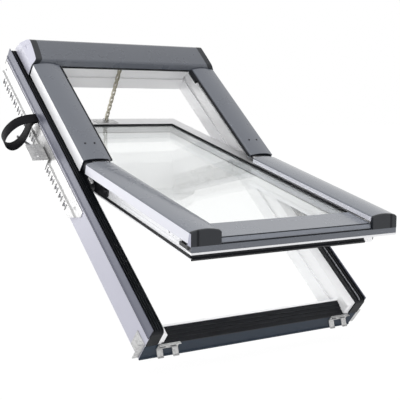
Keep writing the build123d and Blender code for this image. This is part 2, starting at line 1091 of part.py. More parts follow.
def lock_block(side):
    with BuildPart() as block:
        with BuildSketch(profile_at(side * sash_half_width)):
            with Locations((lock_middle_y, lock_middle_z)):
                RectangleRounded(lock_length, lock_height, lock_corner)
        extrude(amount=side * lock_thickness)
        with BuildSketch(profile_at(side * (sash_half_width + lock_thickness))):
            with Locations((lock_middle_y, lock_middle_z)):
                Rectangle(lock_length, lock_slot)
        extrude(amount=-side * lock_thickness / 2, mode=Mode.SUBTRACT)
    return block


write(pair(lock_block), "lock_blocks", sash_place)

# The drive in the head of the frame: a housing with a mouth for the chain
housing_half_length = 190
housing_front = 472
housing_bottom = -6
housing_points = [(564, -2), (554, 14), (540, 18.5), (500, 16), (housing_front, 11)]
mouth_middle = 503
mouth_length = 30
mouth_width = 20
mouth_depth = 18.5
with BuildPart() as drive_housing:
    with BuildSketch(profile_at(-housing_half_length)):
        with BuildLine():
            Polyline(
                (housing_front, housing_bottom),
                (head_inner, housing_bottom),
                (head_inner, head_top),
                (housing_points[0][0], head_top),
                *housing_points,
                close=True,
            )
        make_face()
    extrude(amount=2 * housing_half_length)
    with BuildSketch(level(housing_bottom)):
        with Locations((0, mouth_middle)):
            Rectangle(mouth_width, mouth_length)
    extrude(amount=mouth_depth, mode=Mode.SUBTRACT)
write(drive_housing, "drive_housing", window_place)

# The chain's anchor on the top rail of the sash: a plate with two ears and a pin
anchor_plate = (84, 44)
anchor_plate_thickness = 2
anchor_corner = 6
anchor_hole_radius = 2.2
anchor_hole_spacing = (58, 24)
ear_gap = 13
ear_thickness = 2.5
ear_radius = 7
with BuildPart() as chain_anchor:
    with BuildSketch(level(sash_outer)):
        with Locations((0, anchor_y)):
            RectangleRounded(*anchor_plate, anchor_corner)
            with GridLocations(*anchor_hole_spacing, 2, 2):
                Circle(anchor_hole_radius, mode=Mode.SUBTRACT)
    extrude(amount=anchor_plate_thickness)
    for x in (ear_gap / 2, -ear_gap / 2 - ear_thickness):
        with BuildSketch(profile_at(x)):
            with BuildLine():
                ThreePointArc(
                    (anchor_y - ear_radius, anchor_z),
                    (anchor_y, anchor_z + ear_radius),
                    (anchor_y + ear_radius, anchor_z),
                )
                Polyline(
                    (anchor_y + ear_radius, anchor_z),
                    (anchor_y + ear_radius, sash_outer + anchor_plate_thickness),
                    (anchor_y - ear_radius, sash_outer + anchor_plate_thickness),
                    (anchor_y - ear_radius, anchor_z),
                )
            make_face()
            with Locations((anchor_y, anchor_z)):
                Circle(chain_pin_radius, mode=Mode.SUBTRACT)
        extrude(amount=ear_thickness)
write(chain_anchor, "chain_anchor", sash_place)

with BuildPart() as anchor_pin:
    with BuildSketch(profile_at(-ear_gap / 2 - ear_thickness)):
        with Locations((anchor_y, anchor_z)):
            Circle(chain_pin_radius)
    extrude(amount=ear_gap + 2 * ear_thickness)
write(anchor_pin, "anchor_pin", sash_place)

# The push chain, stretched between the mouth and the anchor: inner and outer links in turn
chain_foot_y, chain_foot_z = turned(anchor_y, anchor_z)
chain_lean = degrees(atan2(mouth_middle - chain_foot_y, housing_bottom - chain_foot_z))
plate_height = 9.8
plate_waist = 8.6
link_plate = 1.6
link_gap = 0.1
pin_overhang = 0.5
inner_plate_x = 2.4
outer_plate_x = inner_plate_x + link_plate + link_gap
chain_step = (sin(radians(chain_lean)) * chain_pitch, cos(radians(chain_lean)) * chain_pitch)


def joint_of_chain(index):
    """Where a pin of the chain lies, counted from the anchor."""
    return (chain_foot_y + index * chain_step[0], chain_foot_z + index * chain_step[1])


def link_outline(index):
    """A link's outline round two pins: two round ends and a narrower waist."""
    start = joint_of_chain(index)
    end = joint_of_chain(index + 1)
    middle = ((start[0] + end[0]) / 2, (start[1] + end[1]) / 2)
    with Locations(start, end):
        Circle(plate_height / 2)
    with Locations(Location((middle[0], middle[1], 0), (0, 0, 90 - chain_lean))):
        Rectangle(chain_pitch, plate_waist)
    with Locations(start, end):
        Circle(chain_pin_radius, mode=Mode.SUBTRACT)


with BuildPart() as push_chain_links:
    for index in range(chain_links):
        plate_x = outer_plate_x if index % 2 else inner_plate_x
        for x in (plate_x, -plate_x - link_plate):
            with BuildSketch(profile_at(x)):
                link_outline(index)
            extrude(amount=link_plate)
write(push_chain_links, "push_chain_links", window_place)

chain_pin_length = 2 * (outer_plate_x + link_plate + pin_overhang)
with BuildPart() as push_chain_pins:
    with BuildSketch(profile_at(-chain_pin_length / 2)):
        for index in range(1, chain_links + 1):
            with Locations(joint_of_chain(index)):
                Circle(chain_pin_radius)
    extrude(amount=chain_pin_length)
write(push_chain_pins, "push_chain_pins", window_place)

# The slotted fixing rails on the outside of the frame, with a stepped section
rail_top_end = 585
rail_low_end = -121
rail_slot = (15, 11)
rail_slot_pitch = 36
rail_slot_z = -150
rail_slot_count = 17
rail_outer = half_width + 7
rail_wall = 2.5
rail_top = -90
rail_step_top = -128
rail_step_foot = -133
rail_foot = -162
rail_step_wall = 1
rail_cut_top = -110
rail_cut_length = 50


def fixing_rail(side):
    outline = [
        (side * half_width, rail_top),
        (side * (half_width + rail_wall), rail_top),
        (side * (half_width + rail_wall), rail_step_top),
        (side * rail_outer, rail_step_foot),
        (side * rail_outer, rail_foot),
        (side * (rail_outer - rail_wall), rail_foot),
        (side * (rail_outer - rail_wall), rail_step_foot - rail_step_wall),
        (side * half_width, rail_step_top - rail_step_wall),
    ]
    with BuildPart() as rail_sheet:
        with BuildSketch(section_at(rail_top_end)):
            Polygon(*outline, align=None)
        extrude(amount=rail_top_end - rail_low_end)
        with BuildSketch(profile_at(side * half_width)):
            middle = (rail_top_end + rail_low_end + rail_cut_length) / 2
            with Locations((middle, rail_slot_z)):
                with GridLocations(rail_slot_pitch, 1, rail_slot_count, 1):
                    Rectangle(*rail_slot)
            with BuildLine():
                Polyline(
                    (rail_low_end, rail_cut_top),
                    (rail_low_end + rail_cut_length, rail_foot),
                    (rail_low_end, rail_foot),
                    close=True,
                )
            make_face()
        extrude(amount=side * (rail_outer - half_width), mode=Mode.SUBTRACT)
    return rail_sheet


# The fold-out brackets on the rails, with two screw holes each
bracket_low = 133
bracket_length = 70
bracket_wall = 2.5
bracket_reach = 54
bracket_plane = -120
bracket_foot = -160
bracket_hole_radius = 3
bracket_holes = (150, 186)
bracket_hole_reach = 30


def fixing_bracket(side):
    near = rail_outer
    far = rail_outer + bracket_reach
    with BuildPart() as bracket:
        with BuildSketch(section_at(bracket_low + bracket_length)):
            Polygon(
                (side * near, bracket_foot),
                (side * (near + bracket_wall), bracket_foot),
                (side * (near + bracket_wall), bracket_plane),
                (side * far, bracket_plane),
                (side * far, bracket_plane + bracket_wall),
                (side * near, bracket_plane + bracket_wall),
                align=None,
            )
        extrude(amount=bracket_length)
        with BuildSketch(level(bracket_plane)):
            for y in bracket_holes:
                with Locations((side * (rail_outer + bracket_hole_reach), y)):
                    Circle(bracket_hole_radius)
        extrude(amount=bracket_wall, mode=Mode.SUBTRACT)
    return bracket


for name, side in sides.items():
    write(fixing_rail(side), f"fixing_rail_{name}", window_place)
write(pair(fixing_bracket), "fixing_brackets", window_place)

# The galvanised clips on the sill: a plate with two windows, a lip, and two bent toes
clip_middle = 300
clip_width = 66
clip_face = -half_length - 2 * sheet
clip_wall = 2
clip_top = -106
clip_low = -124
clip_lip = 9
clip_lip_rise = 3
toe_width = 18
toe_drop = 11
toe_reach = 18
toe_length = 5
toe_inset = 1
clip_window_width = 22
clip_window_height = 12
clip_window_angle = 72
clip_window_place = 16.5


def sill_clip(side):
    with BuildPart() as clip:
        with BuildSketch(profile_at(side * clip_middle - clip_width / 2)):
            with BuildLine():
                Polyline(
                    (clip_face, clip_low - clip_wall),
                    (clip_face, clip_top),
                    (clip_face - clip_lip, clip_top + clip_lip_rise),
                    (clip_face - clip_lip, clip_top + clip_lip_rise - clip_wall),
                    (clip_face - clip_wall, clip_top - clip_wall),
                    (clip_face - clip_wall, clip_low),
                    (clip_face - toe_reach, clip_low - toe_drop),
                    (clip_face - toe_reach - toe_length, clip_low - toe_drop),
                    (clip_face - toe_reach - toe_length, clip_low - toe_drop - clip_wall),
                    (clip_face - toe_reach + toe_inset, clip_low - toe_drop - clip_wall),
                    close=True,
                )
            make_face()
        extrude(amount=clip_width)
        with BuildSketch(Plane.XZ.offset(-clip_face)):
            for offset_x in (-clip_window_place, clip_window_place):
                with Locations((side * clip_middle + offset_x, (clip_top + clip_low) / 2)):
                    Trapezoid(clip_window_width, clip_window_height, clip_window_angle)
            with Locations((side * clip_middle, clip_low - toe_drop)):
                Rectangle(clip_width - 2 * toe_width, toe_drop * 2)
        extrude(amount=clip_lip + toe_reach + toe_length, mode=Mode.SUBTRACT)
    return clip


# The small end angles at the foot of each side
angle_wall = 2.5
angle_reach = 20
angle_end = -588
angle_start = -540
angle_foot = -160
angle_height = 54


def corner_angle(side):
    near = half_width
    with BuildPart() as angle:
        with BuildSketch(level(angle_foot)):
            Polygon(
                (side * near, angle_end),
                (side * (near + angle_reach), angle_end),
                (side * (near + angle_reach), angle_end + angle_wall),
                (side * (near + angle_wall), angle_end + angle_wall),
                (side * (near + angle_wall), angle_start),
                (side * near, angle_start),
                align=None,
            )
        extrude(amount=angle_height)
    return angle


write(pair(sill_clip), "sill_clips", window_place)
write(pair(corner_angle), "corner_angles", window_place)

# The screws of the rails
rail_screw_places = (571, 247, -77)
rail_screw_z = -116
rail_screw_radius = 4
rail_screw_height = 2.2
with BuildPart() as rail_screws:
    for side in sides.values():
        with BuildSketch(profile_at(side * (half_width + rail_wall))):
            for y in rail_screw_places:
                with Locations((y, rail_screw_z)):
                    Circle(rail_screw_radius)
        extrude(amount=side * rail_screw_height)
write(rail_screws, "rail_screws", window_place)

# The carrying strap: a loop of webbing held between the left strip and the left rail
strap_thickness = 1.6
strap_width = 38
strap_middle = 285
strap_gap = 0.05
strap_root = -half_width - strap_gap - strap_thickness / 2
strap_bend = 12
strap_points = [
    (strap_root, -80.5),
    (-404, -84.5),
    (-446, -104),
    (-466, -150),
    (-456, -188),
    (-428, -202),
    (-400, -178),
    (-391, -130),
    (-388, -85.4),
    (strap_root, -85),
]
with BuildPart() as carrying_strap:
    with BuildSketch(section_at(strap_middle + strap_width / 2)):
        with BuildLine():
            FilletPolyline(*strap_points, radius=strap_bend)
            offset(amount=strap_thickness / 2, side=Side.BOTH)
        make_face()
    extrude(amount=strap_width)
write(carrying_strap, "carrying_strap", window_place)
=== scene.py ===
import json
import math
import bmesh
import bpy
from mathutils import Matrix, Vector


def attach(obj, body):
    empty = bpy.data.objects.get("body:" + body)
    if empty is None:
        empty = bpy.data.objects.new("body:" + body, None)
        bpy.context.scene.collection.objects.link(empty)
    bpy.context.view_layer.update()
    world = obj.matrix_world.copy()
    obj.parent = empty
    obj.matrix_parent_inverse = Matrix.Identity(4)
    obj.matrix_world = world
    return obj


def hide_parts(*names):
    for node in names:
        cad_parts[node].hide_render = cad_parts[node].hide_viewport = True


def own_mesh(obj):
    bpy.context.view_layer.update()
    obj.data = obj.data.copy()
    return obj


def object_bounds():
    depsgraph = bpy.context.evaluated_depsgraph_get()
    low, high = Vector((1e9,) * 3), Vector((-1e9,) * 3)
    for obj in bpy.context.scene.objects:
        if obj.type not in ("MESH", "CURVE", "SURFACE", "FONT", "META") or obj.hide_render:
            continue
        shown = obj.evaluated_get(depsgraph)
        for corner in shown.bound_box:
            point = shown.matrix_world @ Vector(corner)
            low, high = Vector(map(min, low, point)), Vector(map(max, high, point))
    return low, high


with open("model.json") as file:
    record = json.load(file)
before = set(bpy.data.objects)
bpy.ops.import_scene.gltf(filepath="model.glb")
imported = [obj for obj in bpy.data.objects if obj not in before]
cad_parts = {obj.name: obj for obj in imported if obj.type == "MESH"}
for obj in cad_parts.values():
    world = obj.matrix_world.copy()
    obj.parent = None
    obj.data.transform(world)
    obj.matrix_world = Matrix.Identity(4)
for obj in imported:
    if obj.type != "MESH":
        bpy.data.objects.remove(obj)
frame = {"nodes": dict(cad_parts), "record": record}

# %% [markdown]
# # A centre-pivot roof window
# The window sits in a slope of forty degrees, with its sash tilted open by a small push chain.
# The solid parts come from the CAD frame and keep their places. This lesson gives them their
# finishes, some of them painted light and shade, and makes the few pieces that Blender can make
# better: the chain, the screws, the lips of the rail slots, the long seals, black beads of
# painted shadow and the woven strap.

cad_low, cad_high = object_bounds()
nodes = frame["nodes"]
print("CAD pieces:", len(nodes), "size in metres:", [round(v, 3) for v in cad_high - cad_low])

# %% [markdown]
# ## Directions in the slope
# Every piece of the window is laid out along the slope, so it helps to have the three
# directions of the slope at hand: across, up the slope, and out of the roof.
# One helper turns a place on the window's drawing, in millimetres, into a place in the scene.
# The sash is drawn closed, so a second helper first swings it open about its pivot.

# %% The slope
pitch = math.radians(40)
across = Vector((1, 0, 0))
up_slope = Vector((0, math.cos(pitch), math.sin(pitch)))
outwards = Vector((0, -math.sin(pitch), math.cos(pitch)))
drawing_origin = Vector((0, -565, -165))
mm_in_metre = 1000


def place(x, y, z):
    """A place on the window's drawing, in millimetres, as a place in the scene, in metres."""
    d = Vector((x, y, z)) - drawing_origin
    return (across * d.x + up_slope * d.y + outwards * d.z) / mm_in_metre


opening = math.radians(25.8)
pivot_y, pivot_z = -26, -60


def open_place(x, y, z):
    """A place on the drawing of the closed sash, moved to where the open sash has it."""
    dy, dz = y - pivot_y, z - pivot_z
    open_y = pivot_y + dy * math.cos(opening) + dz * math.sin(opening)
    open_z = pivot_z - dy * math.sin(opening) + dz * math.cos(opening)
    return place(x, open_y, open_z)


place_on = {"frame": place, "sash": open_place}
slope_turn = Matrix((across, up_slope, outwards)).transposed()
print("the pivot axis passes through", [round(v, 4) for v in place(0, pivot_y, pivot_z)])

# %% [markdown]
# ## Camera
# The photograph was taken from the lower left of the window, a little above its middle, with a
# long lens. The camera's place and its length of lens come from the straight edges of the
# frame, so the lines of the picture run as they do in the photograph.

# %% Camera
camera_data = bpy.data.cameras.new("studio_camera")
camera = bpy.data.objects.new("studio_camera", camera_data)
bpy.context.scene.collection.objects.link(camera)
camera_data.sensor_width = 36
camera_data.lens = 82.75
camera.location = (-1.5544, -2.0676, 0.6339)
camera_right = Vector((0.82967, -0.55826, 0.00133))
camera_down = Vector((-0.05298, -0.08111, -0.9953))
camera_forward = Vector((0.55574, 0.82569, -0.09687))
camera.rotation_euler = Matrix(
    (camera_right, -camera_down, -camera_forward)
).transposed().to_euler()
bpy.context.scene.camera = camera
print("camera at", [round(v, 3) for v in camera.location])

# %% [markdown]
# ## Light
# The window was lit by large soft lamps from the left, from above and from the front. Area
# lamps give the same wide, soft highlights, where small lamps would give hard spots. The camera
# doesn't see the lamps themselves.

# %% Lamps


def lamp(name, position, target, size, power):
    data = bpy.data.lights.new(name, "AREA")
    data.shape = "RECTANGLE"
    data.size, data.size_y = size
    data.energy = power
    made = bpy.data.objects.new(name, data)
    made.location = position
    made.rotation_euler = (Vector(target) - Vector(position)).to_track_quat("-Z", "Y").to_euler()
    made.visible_camera = False
    bpy.context.scene.collection.objects.link(made)


middle = (0, 0.4, 0.4)
lamp("left_panel_lamp", position=(-1.75, 2.6, 0.45), target=middle, size=(1.9, 1.3), power=17)
lamp("top_soft_lamp", position=(-0.6, -0.6, 3.0), target=middle, size=(2.5, 2.5), power=24)
lamp("front_fill_lamp", position=(-1.6, -2.8, -0.2), target=middle, size=(1.8, 1.2), power=84)

# %% [markdown]
# ## World and floor
# The backdrop is plain white, but white light from all sides would wash out the shapes. So the
# world is white only where the camera, a gloss or a glass looks at it, and lights the window
# with less. The floor glows in the same way, and its matt part keeps the window's soft shadow.

# %% Node helpers


def new_node(tree, kind, inputs=None, **settings):
    """Add a node, set its options, and fill or link its inputs."""
    made = tree.nodes.new(kind)
    for name, value in settings.items():
        setattr(made, name, value)
    for key, value in (inputs or {}).items():
        if isinstance(value, bpy.types.NodeSocket):
            tree.links.new(value, made.inputs[key])
        else:
            made.inputs[key].default_value = value
    return made


def seen_directly(tree):
    """1 on camera, gloss and glass rays, and 0 on the rays that light a surface."""
    path = new_node(tree, "ShaderNodeLightPath")
    first = new_node(
        tree,
        "ShaderNodeMath",
        {0: path.outputs["Is Camera Ray"], 1: path.outputs["Is Glossy Ray"]},
        operation="MAXIMUM",
    )
    both = new_node(
        tree,
        "ShaderNodeMath",
        {0: first.outputs[0], 1: path.outputs["Is Transmission Ray"]},
        operation="MAXIMUM",
    )
    return both.outputs[0]


print("node helpers ready")

# %% World
lighting_level, seen_level = 0.86, 1.0
world = bpy.data.worlds.new("white_studio")
bpy.context.scene.world = world
world.use_nodes = True
world.node_tree.nodes.clear()
plain_level = new_node(
    world.node_tree,
    "ShaderNodeMapRange",
    {"Value": seen_directly(world.node_tree), "To Min": lighting_level, "To Max": seen_level},
)
sky = new_node(
    world.node_tree,
    "ShaderNodeBackground",
    {"Color": (1, 1, 1, 1), "Strength": plain_level.outputs[0]},
)
new_node(world.node_tree, "ShaderNodeOutputWorld", {"Surface": sky.outputs[0]})
bpy.context.scene.view_settings.view_transform = "Standard"
print("world ready")

# %% Floor
floor_mesh = bpy.data.meshes.new("studio_floor")
reach = 30
floor_gap = 0.03
floor_level = cad_low.z - floor_gap
floor_corners = [
    (x, y, floor_level)
    for x, y in ((-reach, -reach), (reach, -reach), (reach, reach), (-reach, reach))
]
floor_mesh.from_pydata(floor_corners, [], [(0, 1, 2, 3)])
floor = bpy.data.objects.new("studio_floor", floor_mesh)
bpy.context.scene.collection.objects.link(floor)
floor_paint = bpy.data.materials.new("floor_paint")
floor_paint.use_nodes = True
matt_white, glow_strength, glow_share = (0.9, 0.9, 0.9, 1), 1.03, 0.93
tree = floor_paint.node_tree
tree.nodes.clear()
matt = new_node(tree, "ShaderNodeBsdfDiffuse", {"Color": matt_white})
glow = new_node(tree, "ShaderNodeEmission", {"Color": (1, 1, 1, 1), "Strength": glow_strength})
share = new_node(
    tree, "ShaderNodeMath", {0: seen_directly(tree), 1: glow_share}, operation="MULTIPLY"
)
mixed = new_node(
    tree, "ShaderNodeMixShader", {0: share.outputs[0], 1: matt.outputs[0], 2: glow.outputs[0]}
)
new_node(tree, "ShaderNodeOutputMaterial", {"Surface": mixed.outputs[0]})
floor_mesh.materials.append(floor_paint)
print("floor at", round(floor_level, 3))

# %% [markdown]
# ## Finishes
# No real surface is one even colour. Three shader groups carry what several finishes share:
# a soft unevenness of tone, a fine grain in the surface, and long drawn lines for metal and
# for rubber that was pressed through a die. Each finish places them with its own sizes.

# %% A helper for shader groups


def finish_group(name, sockets):
    """An empty shader group with the named inputs and outputs."""
    group = bpy.data.node_groups.new(name, "ShaderNodeTree")
    for label, way, kind, value in sockets:
        socket = group.interface.new_socket(label, in_out=way, socket_type=kind)
        if value is not None:
            socket.default_value = value
    start = group.nodes.new("NodeGroupInput")
    end = group.nodes.new("NodeGroupOutput")
    return group, start.outputs, end.inputs


NUMBER, COLOUR = "NodeSocketFloat", "NodeSocketColor"
print("group helper ready")

# %% Uneven tone
uneven_tone, given, wanted = finish_group(
    "uneven_tone",
    [
        ("Colour", "INPUT", COLOUR, (0.5, 0.5, 0.5, 1)),
        ("Patches per metre", "INPUT", NUMBER, 8.0),
        ("Tone change", "INPUT", NUMBER, 0.06),
        ("Roughness", "INPUT", NUMBER, 0.4),
        ("Roughness change", "INPUT", NUMBER, 0.08),
        ("Colour out", "OUTPUT", COLOUR, None),
        ("Roughness out", "OUTPUT", NUMBER, None),
    ],
)
where = new_node(uneven_tone, "ShaderNodeTexCoord")
patches = new_node(
    uneven_tone,
    "ShaderNodeTexNoise",
    {
        "Vector": where.outputs["Object"],
        "Scale": given["Patches per metre"],
        "Detail": 5.0,
        "Roughness": 0.6,
    },
)
swing = new_node(
    uneven_tone, "ShaderNodeMath", {0: patches.outputs["Fac"], 1: 0.5}, operation="SUBTRACT"
)
tone = new_node(
    uneven_tone,
    "ShaderNodeMath",
    {0: swing.outputs[0], 1: given["Tone change"], 2: 1.0},
    operation="MULTIPLY_ADD",
)
tinted = new_node(uneven_tone, "ShaderNodeVectorMath", {0: given["Colour"]}, operation="SCALE")
uneven_tone.links.new(tone.outputs[0], tinted.inputs["Scale"])
uneven_tone.links.new(tinted.outputs[0], wanted["Colour out"])
rough = new_node(
    uneven_tone,
    "ShaderNodeMath",
    {0: swing.outputs[0], 1: given["Roughness change"], 2: given["Roughness"]},
    operation="MULTIPLY_ADD",
)
uneven_tone.links.new(rough.outputs[0], wanted["Roughness out"])
print("group:", uneven_tone.name)

# %% Fine grain
fine_grain, given, wanted = finish_group(
    "fine_grain",
    [
        ("Grains per metre", "INPUT", NUMBER, 900.0),
        ("Height", "OUTPUT", NUMBER, None),
    ],
)
where = new_node(fine_grain, "ShaderNodeTexCoord")
grains = new_node(
    fine_grain,
    "ShaderNodeTexNoise",
    {"Vector": where.outputs["Object"], "Scale": given["Grains per metre"], "Detail": 3.0},
)
fine_grain.links.new(grains.outputs["Fac"], wanted["Height"])
print("group:", fine_grain.name)

# %% Drawn lines
drawn_lines, given, wanted = finish_group(
    "drawn_lines",
    [
        ("Lines per metre", "INPUT", NUMBER, 700.0),
        ("Stretch", "INPUT", NUMBER, 0.02),
        ("Slope degrees", "INPUT", NUMBER, 40.0),
        ("Mask", "OUTPUT", NUMBER, None),
    ],
)
where = new_node(drawn_lines, "ShaderNodeTexCoord")
angle = new_node(
    drawn_lines,
    "ShaderNodeMath",
    {0: given["Slope degrees"], 1: -math.pi / 180},
    operation="MULTIPLY",
)
turned = new_node(
    drawn_lines,
    "ShaderNodeVectorRotate",
    {"Vector": where.outputs["Object"], "Angle": angle.outputs[0]},
    rotation_type="X_AXIS",
)
along = new_node(drawn_lines, "ShaderNodeCombineXYZ", {"X": 1.0, "Y": given["Stretch"], "Z": 1.0})
stretched = new_node(
    drawn_lines,
    "ShaderNodeVectorMath",
    {0: turned.outputs[0], 1: along.outputs[0]},
    operation="MULTIPLY",
)
lines = new_node(
    drawn_lines,
    "ShaderNodeTexNoise",
    {"Vector": stretched.outputs[0], "Scale": given["Lines per metre"], "Detail": 2.0},
)
drawn_lines.links.new(lines.outputs["Fac"], wanted["Mask"])
print("group:", drawn_lines.name)

# %% [markdown]
# ## A finish from its facts
# Each finish is written as a short list of facts: its colour, how rough it is, how deep its
# grain is and how many grains there are in a metre. The helper turns the facts into a material.

# %% The finish helper
grain_height = 0.0004


def finish(
    name,
    colour,
    roughness,
    tone=0.08,
    patches=9.0,
    rough_change=0.1,
    grain=900.0,
    depth=0.15,
    lines=None,
    stretch=0.02,
    slope=40.0,
    **constants,
):
    """A material with an uneven tone and a fine grain or drawn lines in its surface."""
    made = bpy.data.materials.new(name)
    made.use_nodes = True
    tree = made.node_tree
    shader = tree.nodes["Principled BSDF"]
    body_facts = {
        "Colour": (*colour, 1),
        "Patches per metre": patches,
        "Tone change": tone,
        "Roughness": roughness,
        "Roughness change": rough_change,
    }
    body = new_node(tree, "ShaderNodeGroup", body_facts, node_tree=uneven_tone)
    tree.links.new(body.outputs["Colour out"], shader.inputs["Base Color"])
    tree.links.new(body.outputs["Roughness out"], shader.inputs["Roughness"])
    if lines:
        line_facts = {"Lines per metre": lines, "Stretch": stretch, "Slope degrees": slope}
        marks = new_node(tree, "ShaderNodeGroup", line_facts, node_tree=drawn_lines)
        height = marks.outputs["Mask"]
    else:
        grain_facts = {"Grains per metre": grain}
        marks = new_node(tree, "ShaderNodeGroup", grain_facts, node_tree=fine_grain)
        height = marks.outputs["Height"]
    bump = new_node(
        tree, "ShaderNodeBump", {"Height": height, "Strength": depth, "Distance": grain_height}
    )
    tree.links.new(bump.outputs[0], shader.inputs["Normal"])
    for socket, value in constants.items():
        shader.inputs[socket.replace("_", " ")].default_value = value
    return made


print("finish helper ready")

# %% Profile and sheet finishes
white_profile = finish("white_profile", (0.86, 0.86, 0.87), 0.32, tone=0.03, grain=1400, depth=0.05)
grey_cover = finish(
    "grey_cover",
    (0.098, 0.108, 0.131),
    0.28,
    tone=0.10,
    lines=260,
    stretch=0.01,
    depth=0.03,
    Coat_Weight=0.4,
    Coat_Roughness=0.12,
)
# A lighter copy of the grey cover finish, painted light: the sash's covers face the light from
# above.
sash_grey_painted_light = finish(
    "sash_grey_painted_light",
    (0.150, 0.163, 0.192),
    0.27,
    tone=0.10,
    lines=260,
    stretch=0.01,
    depth=0.03,
    slope=14.2,
    Coat_Weight=0.4,
    Coat_Roughness=0.12,
)
# A darker copy of the grey cover finish, painted shade for the hood and the front apron.
hood_grey_painted_shade = finish(
    "hood_grey_painted_shade",
    (0.078, 0.086, 0.104),
    0.28,
    tone=0.10,
    lines=200,
    depth=0.02,
    slope=0.0,
    Coat_Weight=0.4,
    Coat_Roughness=0.12,
)
# The five flank finishes below are painted light and shade, set on faces by the way they look: a
# darker copy of the white profile as painted shade on the frame's sides, a pale line as a painted
# highlight on black rubber, pale copies of the cover grey as a painted reflection of the lamp on
# the left, also used as painted light on the stiles' white sides, and a grey as a painted highlight
# on the dark caps.
frame_flank_painted_shade = finish("frame_flank_painted_shade", (0.46, 0.46, 0.54), 0.36, tone=0.06, lines=500, depth=0.06)
pale_line_painted_highlight = finish("pale_line_painted_highlight", (0.62, 0.63, 0.68), 0.34, tone=0.05, lines=500, depth=0.05)
pale_flank_painted_reflection = finish("pale_flank_painted_reflection", (0.64, 0.645, 0.71), 0.34, tone=0.05, grain=420, depth=0.02)
upper_flank_painted_light = finish("upper_flank_painted_light", (0.93, 0.935, 0.96), 0.36, tone=0.05, grain=420, depth=0.02)
cap_flank_painted_highlight = finish("cap_flank_painted_highlight", (0.34, 0.345, 0.43), 0.36, tone=0.10, grain=900, depth=0.05)
print("sheet finishes ready")

# %% Rubber, plastic and metal finishes
dark_moulding = finish(
    "dark_moulding",
    (0.010, 0.012, 0.016),
    0.38,
    tone=0.15,
    grain=1300,
    depth=0.20,
    Specular_IOR_Level=0.4,
)
black_rubber = finish(
    "black_rubber",
    (0.004, 0.0048, 0.007),
    0.5,
    tone=0.4,
    lines=900,
    depth=0.4,
    Specular_IOR_Level=0.22,
)
black_fitting = finish(
    "black_fitting", (0.010, 0.010, 0.013), 0.40, tone=0.2, grain=1500, depth=0.2
)
spacer_metal = finish(
    "spacer_metal",
    (0.42, 0.43, 0.44),
    0.5,
    tone=0.2,
    lines=500,
    depth=0.2,
    slope=14.2,
    Metallic=0.8,
)
bright_metal = finish(
    "bright_metal",
    (0.78, 0.78, 0.80),
    0.28,
    tone=0.1,
    lines=1600,
    depth=0.1,
    slope=14.2,
    Metallic=0.9,
)
# A pale lavender grey, painted highlight: the hood's end plates and the end faces of the hood's end
# caps are darker, and look pale where the lamp on the left lights them.
end_plate_painted_highlight = finish(
    "end_plate_painted_highlight", (0.60, 0.60, 0.69), 0.35, tone=0.08, grain=1600, depth=0.12
)
flange_metal = finish(
    "flange_metal", (0.120, 0.125, 0.165), 0.42, tone=0.16, lines=1100, depth=0.12, Metallic=0.25
)
cladding_metal = finish(
    "cladding_metal",
    (0.022, 0.032, 0.048),
    0.50,
    tone=0.22,
    grain=1800,
    depth=0.1,
    Specular_IOR_Level=0.12,
)
chain_steel = finish(
    "chain_steel",
    (0.40, 0.375, 0.30),
    0.42,
    tone=0.2,
    patches=90,
    rough_change=0.2,
    grain=1600,
    depth=0.05,
    Metallic=0.35,
)
print("rubber, plastic and metal finishes ready")

# %% [markdown]
# ## Woven webbing
# Polyester webbing shows fine ribs along its length, crossed by the weft at every turn. Two
# waves on the strap's own UV map, one across and one along, make small raised cells.

# %% Webbing
webbing = bpy.data.materials.new("webbing")
webbing.use_nodes = True
tree = webbing.node_tree
shader = tree.nodes["Principled BSDF"]
flat = new_node(tree, "ShaderNodeUVMap", uv_map="UVMap")
ribs = new_node(
    tree,
    "ShaderNodeTexWave",
    {"Vector": flat.outputs[0], "Scale": 110.0, "Distortion": 0.6, "Detail": 2.0},
    bands_direction="X",
)
weft = new_node(
    tree,
    "ShaderNodeTexWave",
    {"Vector": flat.outputs[0], "Scale": 160.0, "Distortion": 0.4},
    bands_direction="Y",
)
cells = new_node(
    tree, "ShaderNodeMath", {0: ribs.outputs["Fac"], 1: weft.outputs["Fac"]}, operation="MULTIPLY"
)
between_threads, on_threads = (0.001, 0.001, 0.002, 1), (0.005, 0.005, 0.008, 1)
thread_colour = new_node(
    tree,
    "ShaderNodeMixRGB",
    {"Fac": cells.outputs[0], "Color1": between_threads, "Color2": on_threads},
)
thread_height = 0.0005
bump = new_node(
    tree, "ShaderNodeBump", {"Height": cells.outputs[0], "Strength": 0.5, "Distance": thread_height}
)
tree.links.new(thread_colour.outputs[0], shader.inputs["Base Color"])
tree.links.new(bump.outputs[0], shader.inputs["Normal"])
shader.inputs["Roughness"].default_value = 0.62
shader.inputs["Specular IOR Level"].default_value = 0.14
print("webbing ready")

# %% [markdown]
# ## Zinc-plated steel
# Hot-dipped zinc sets in small crystals, called spangle, that catch the light one by one.
# Cells of a Voronoi texture stand for the crystals, and each has its own tone and gloss.

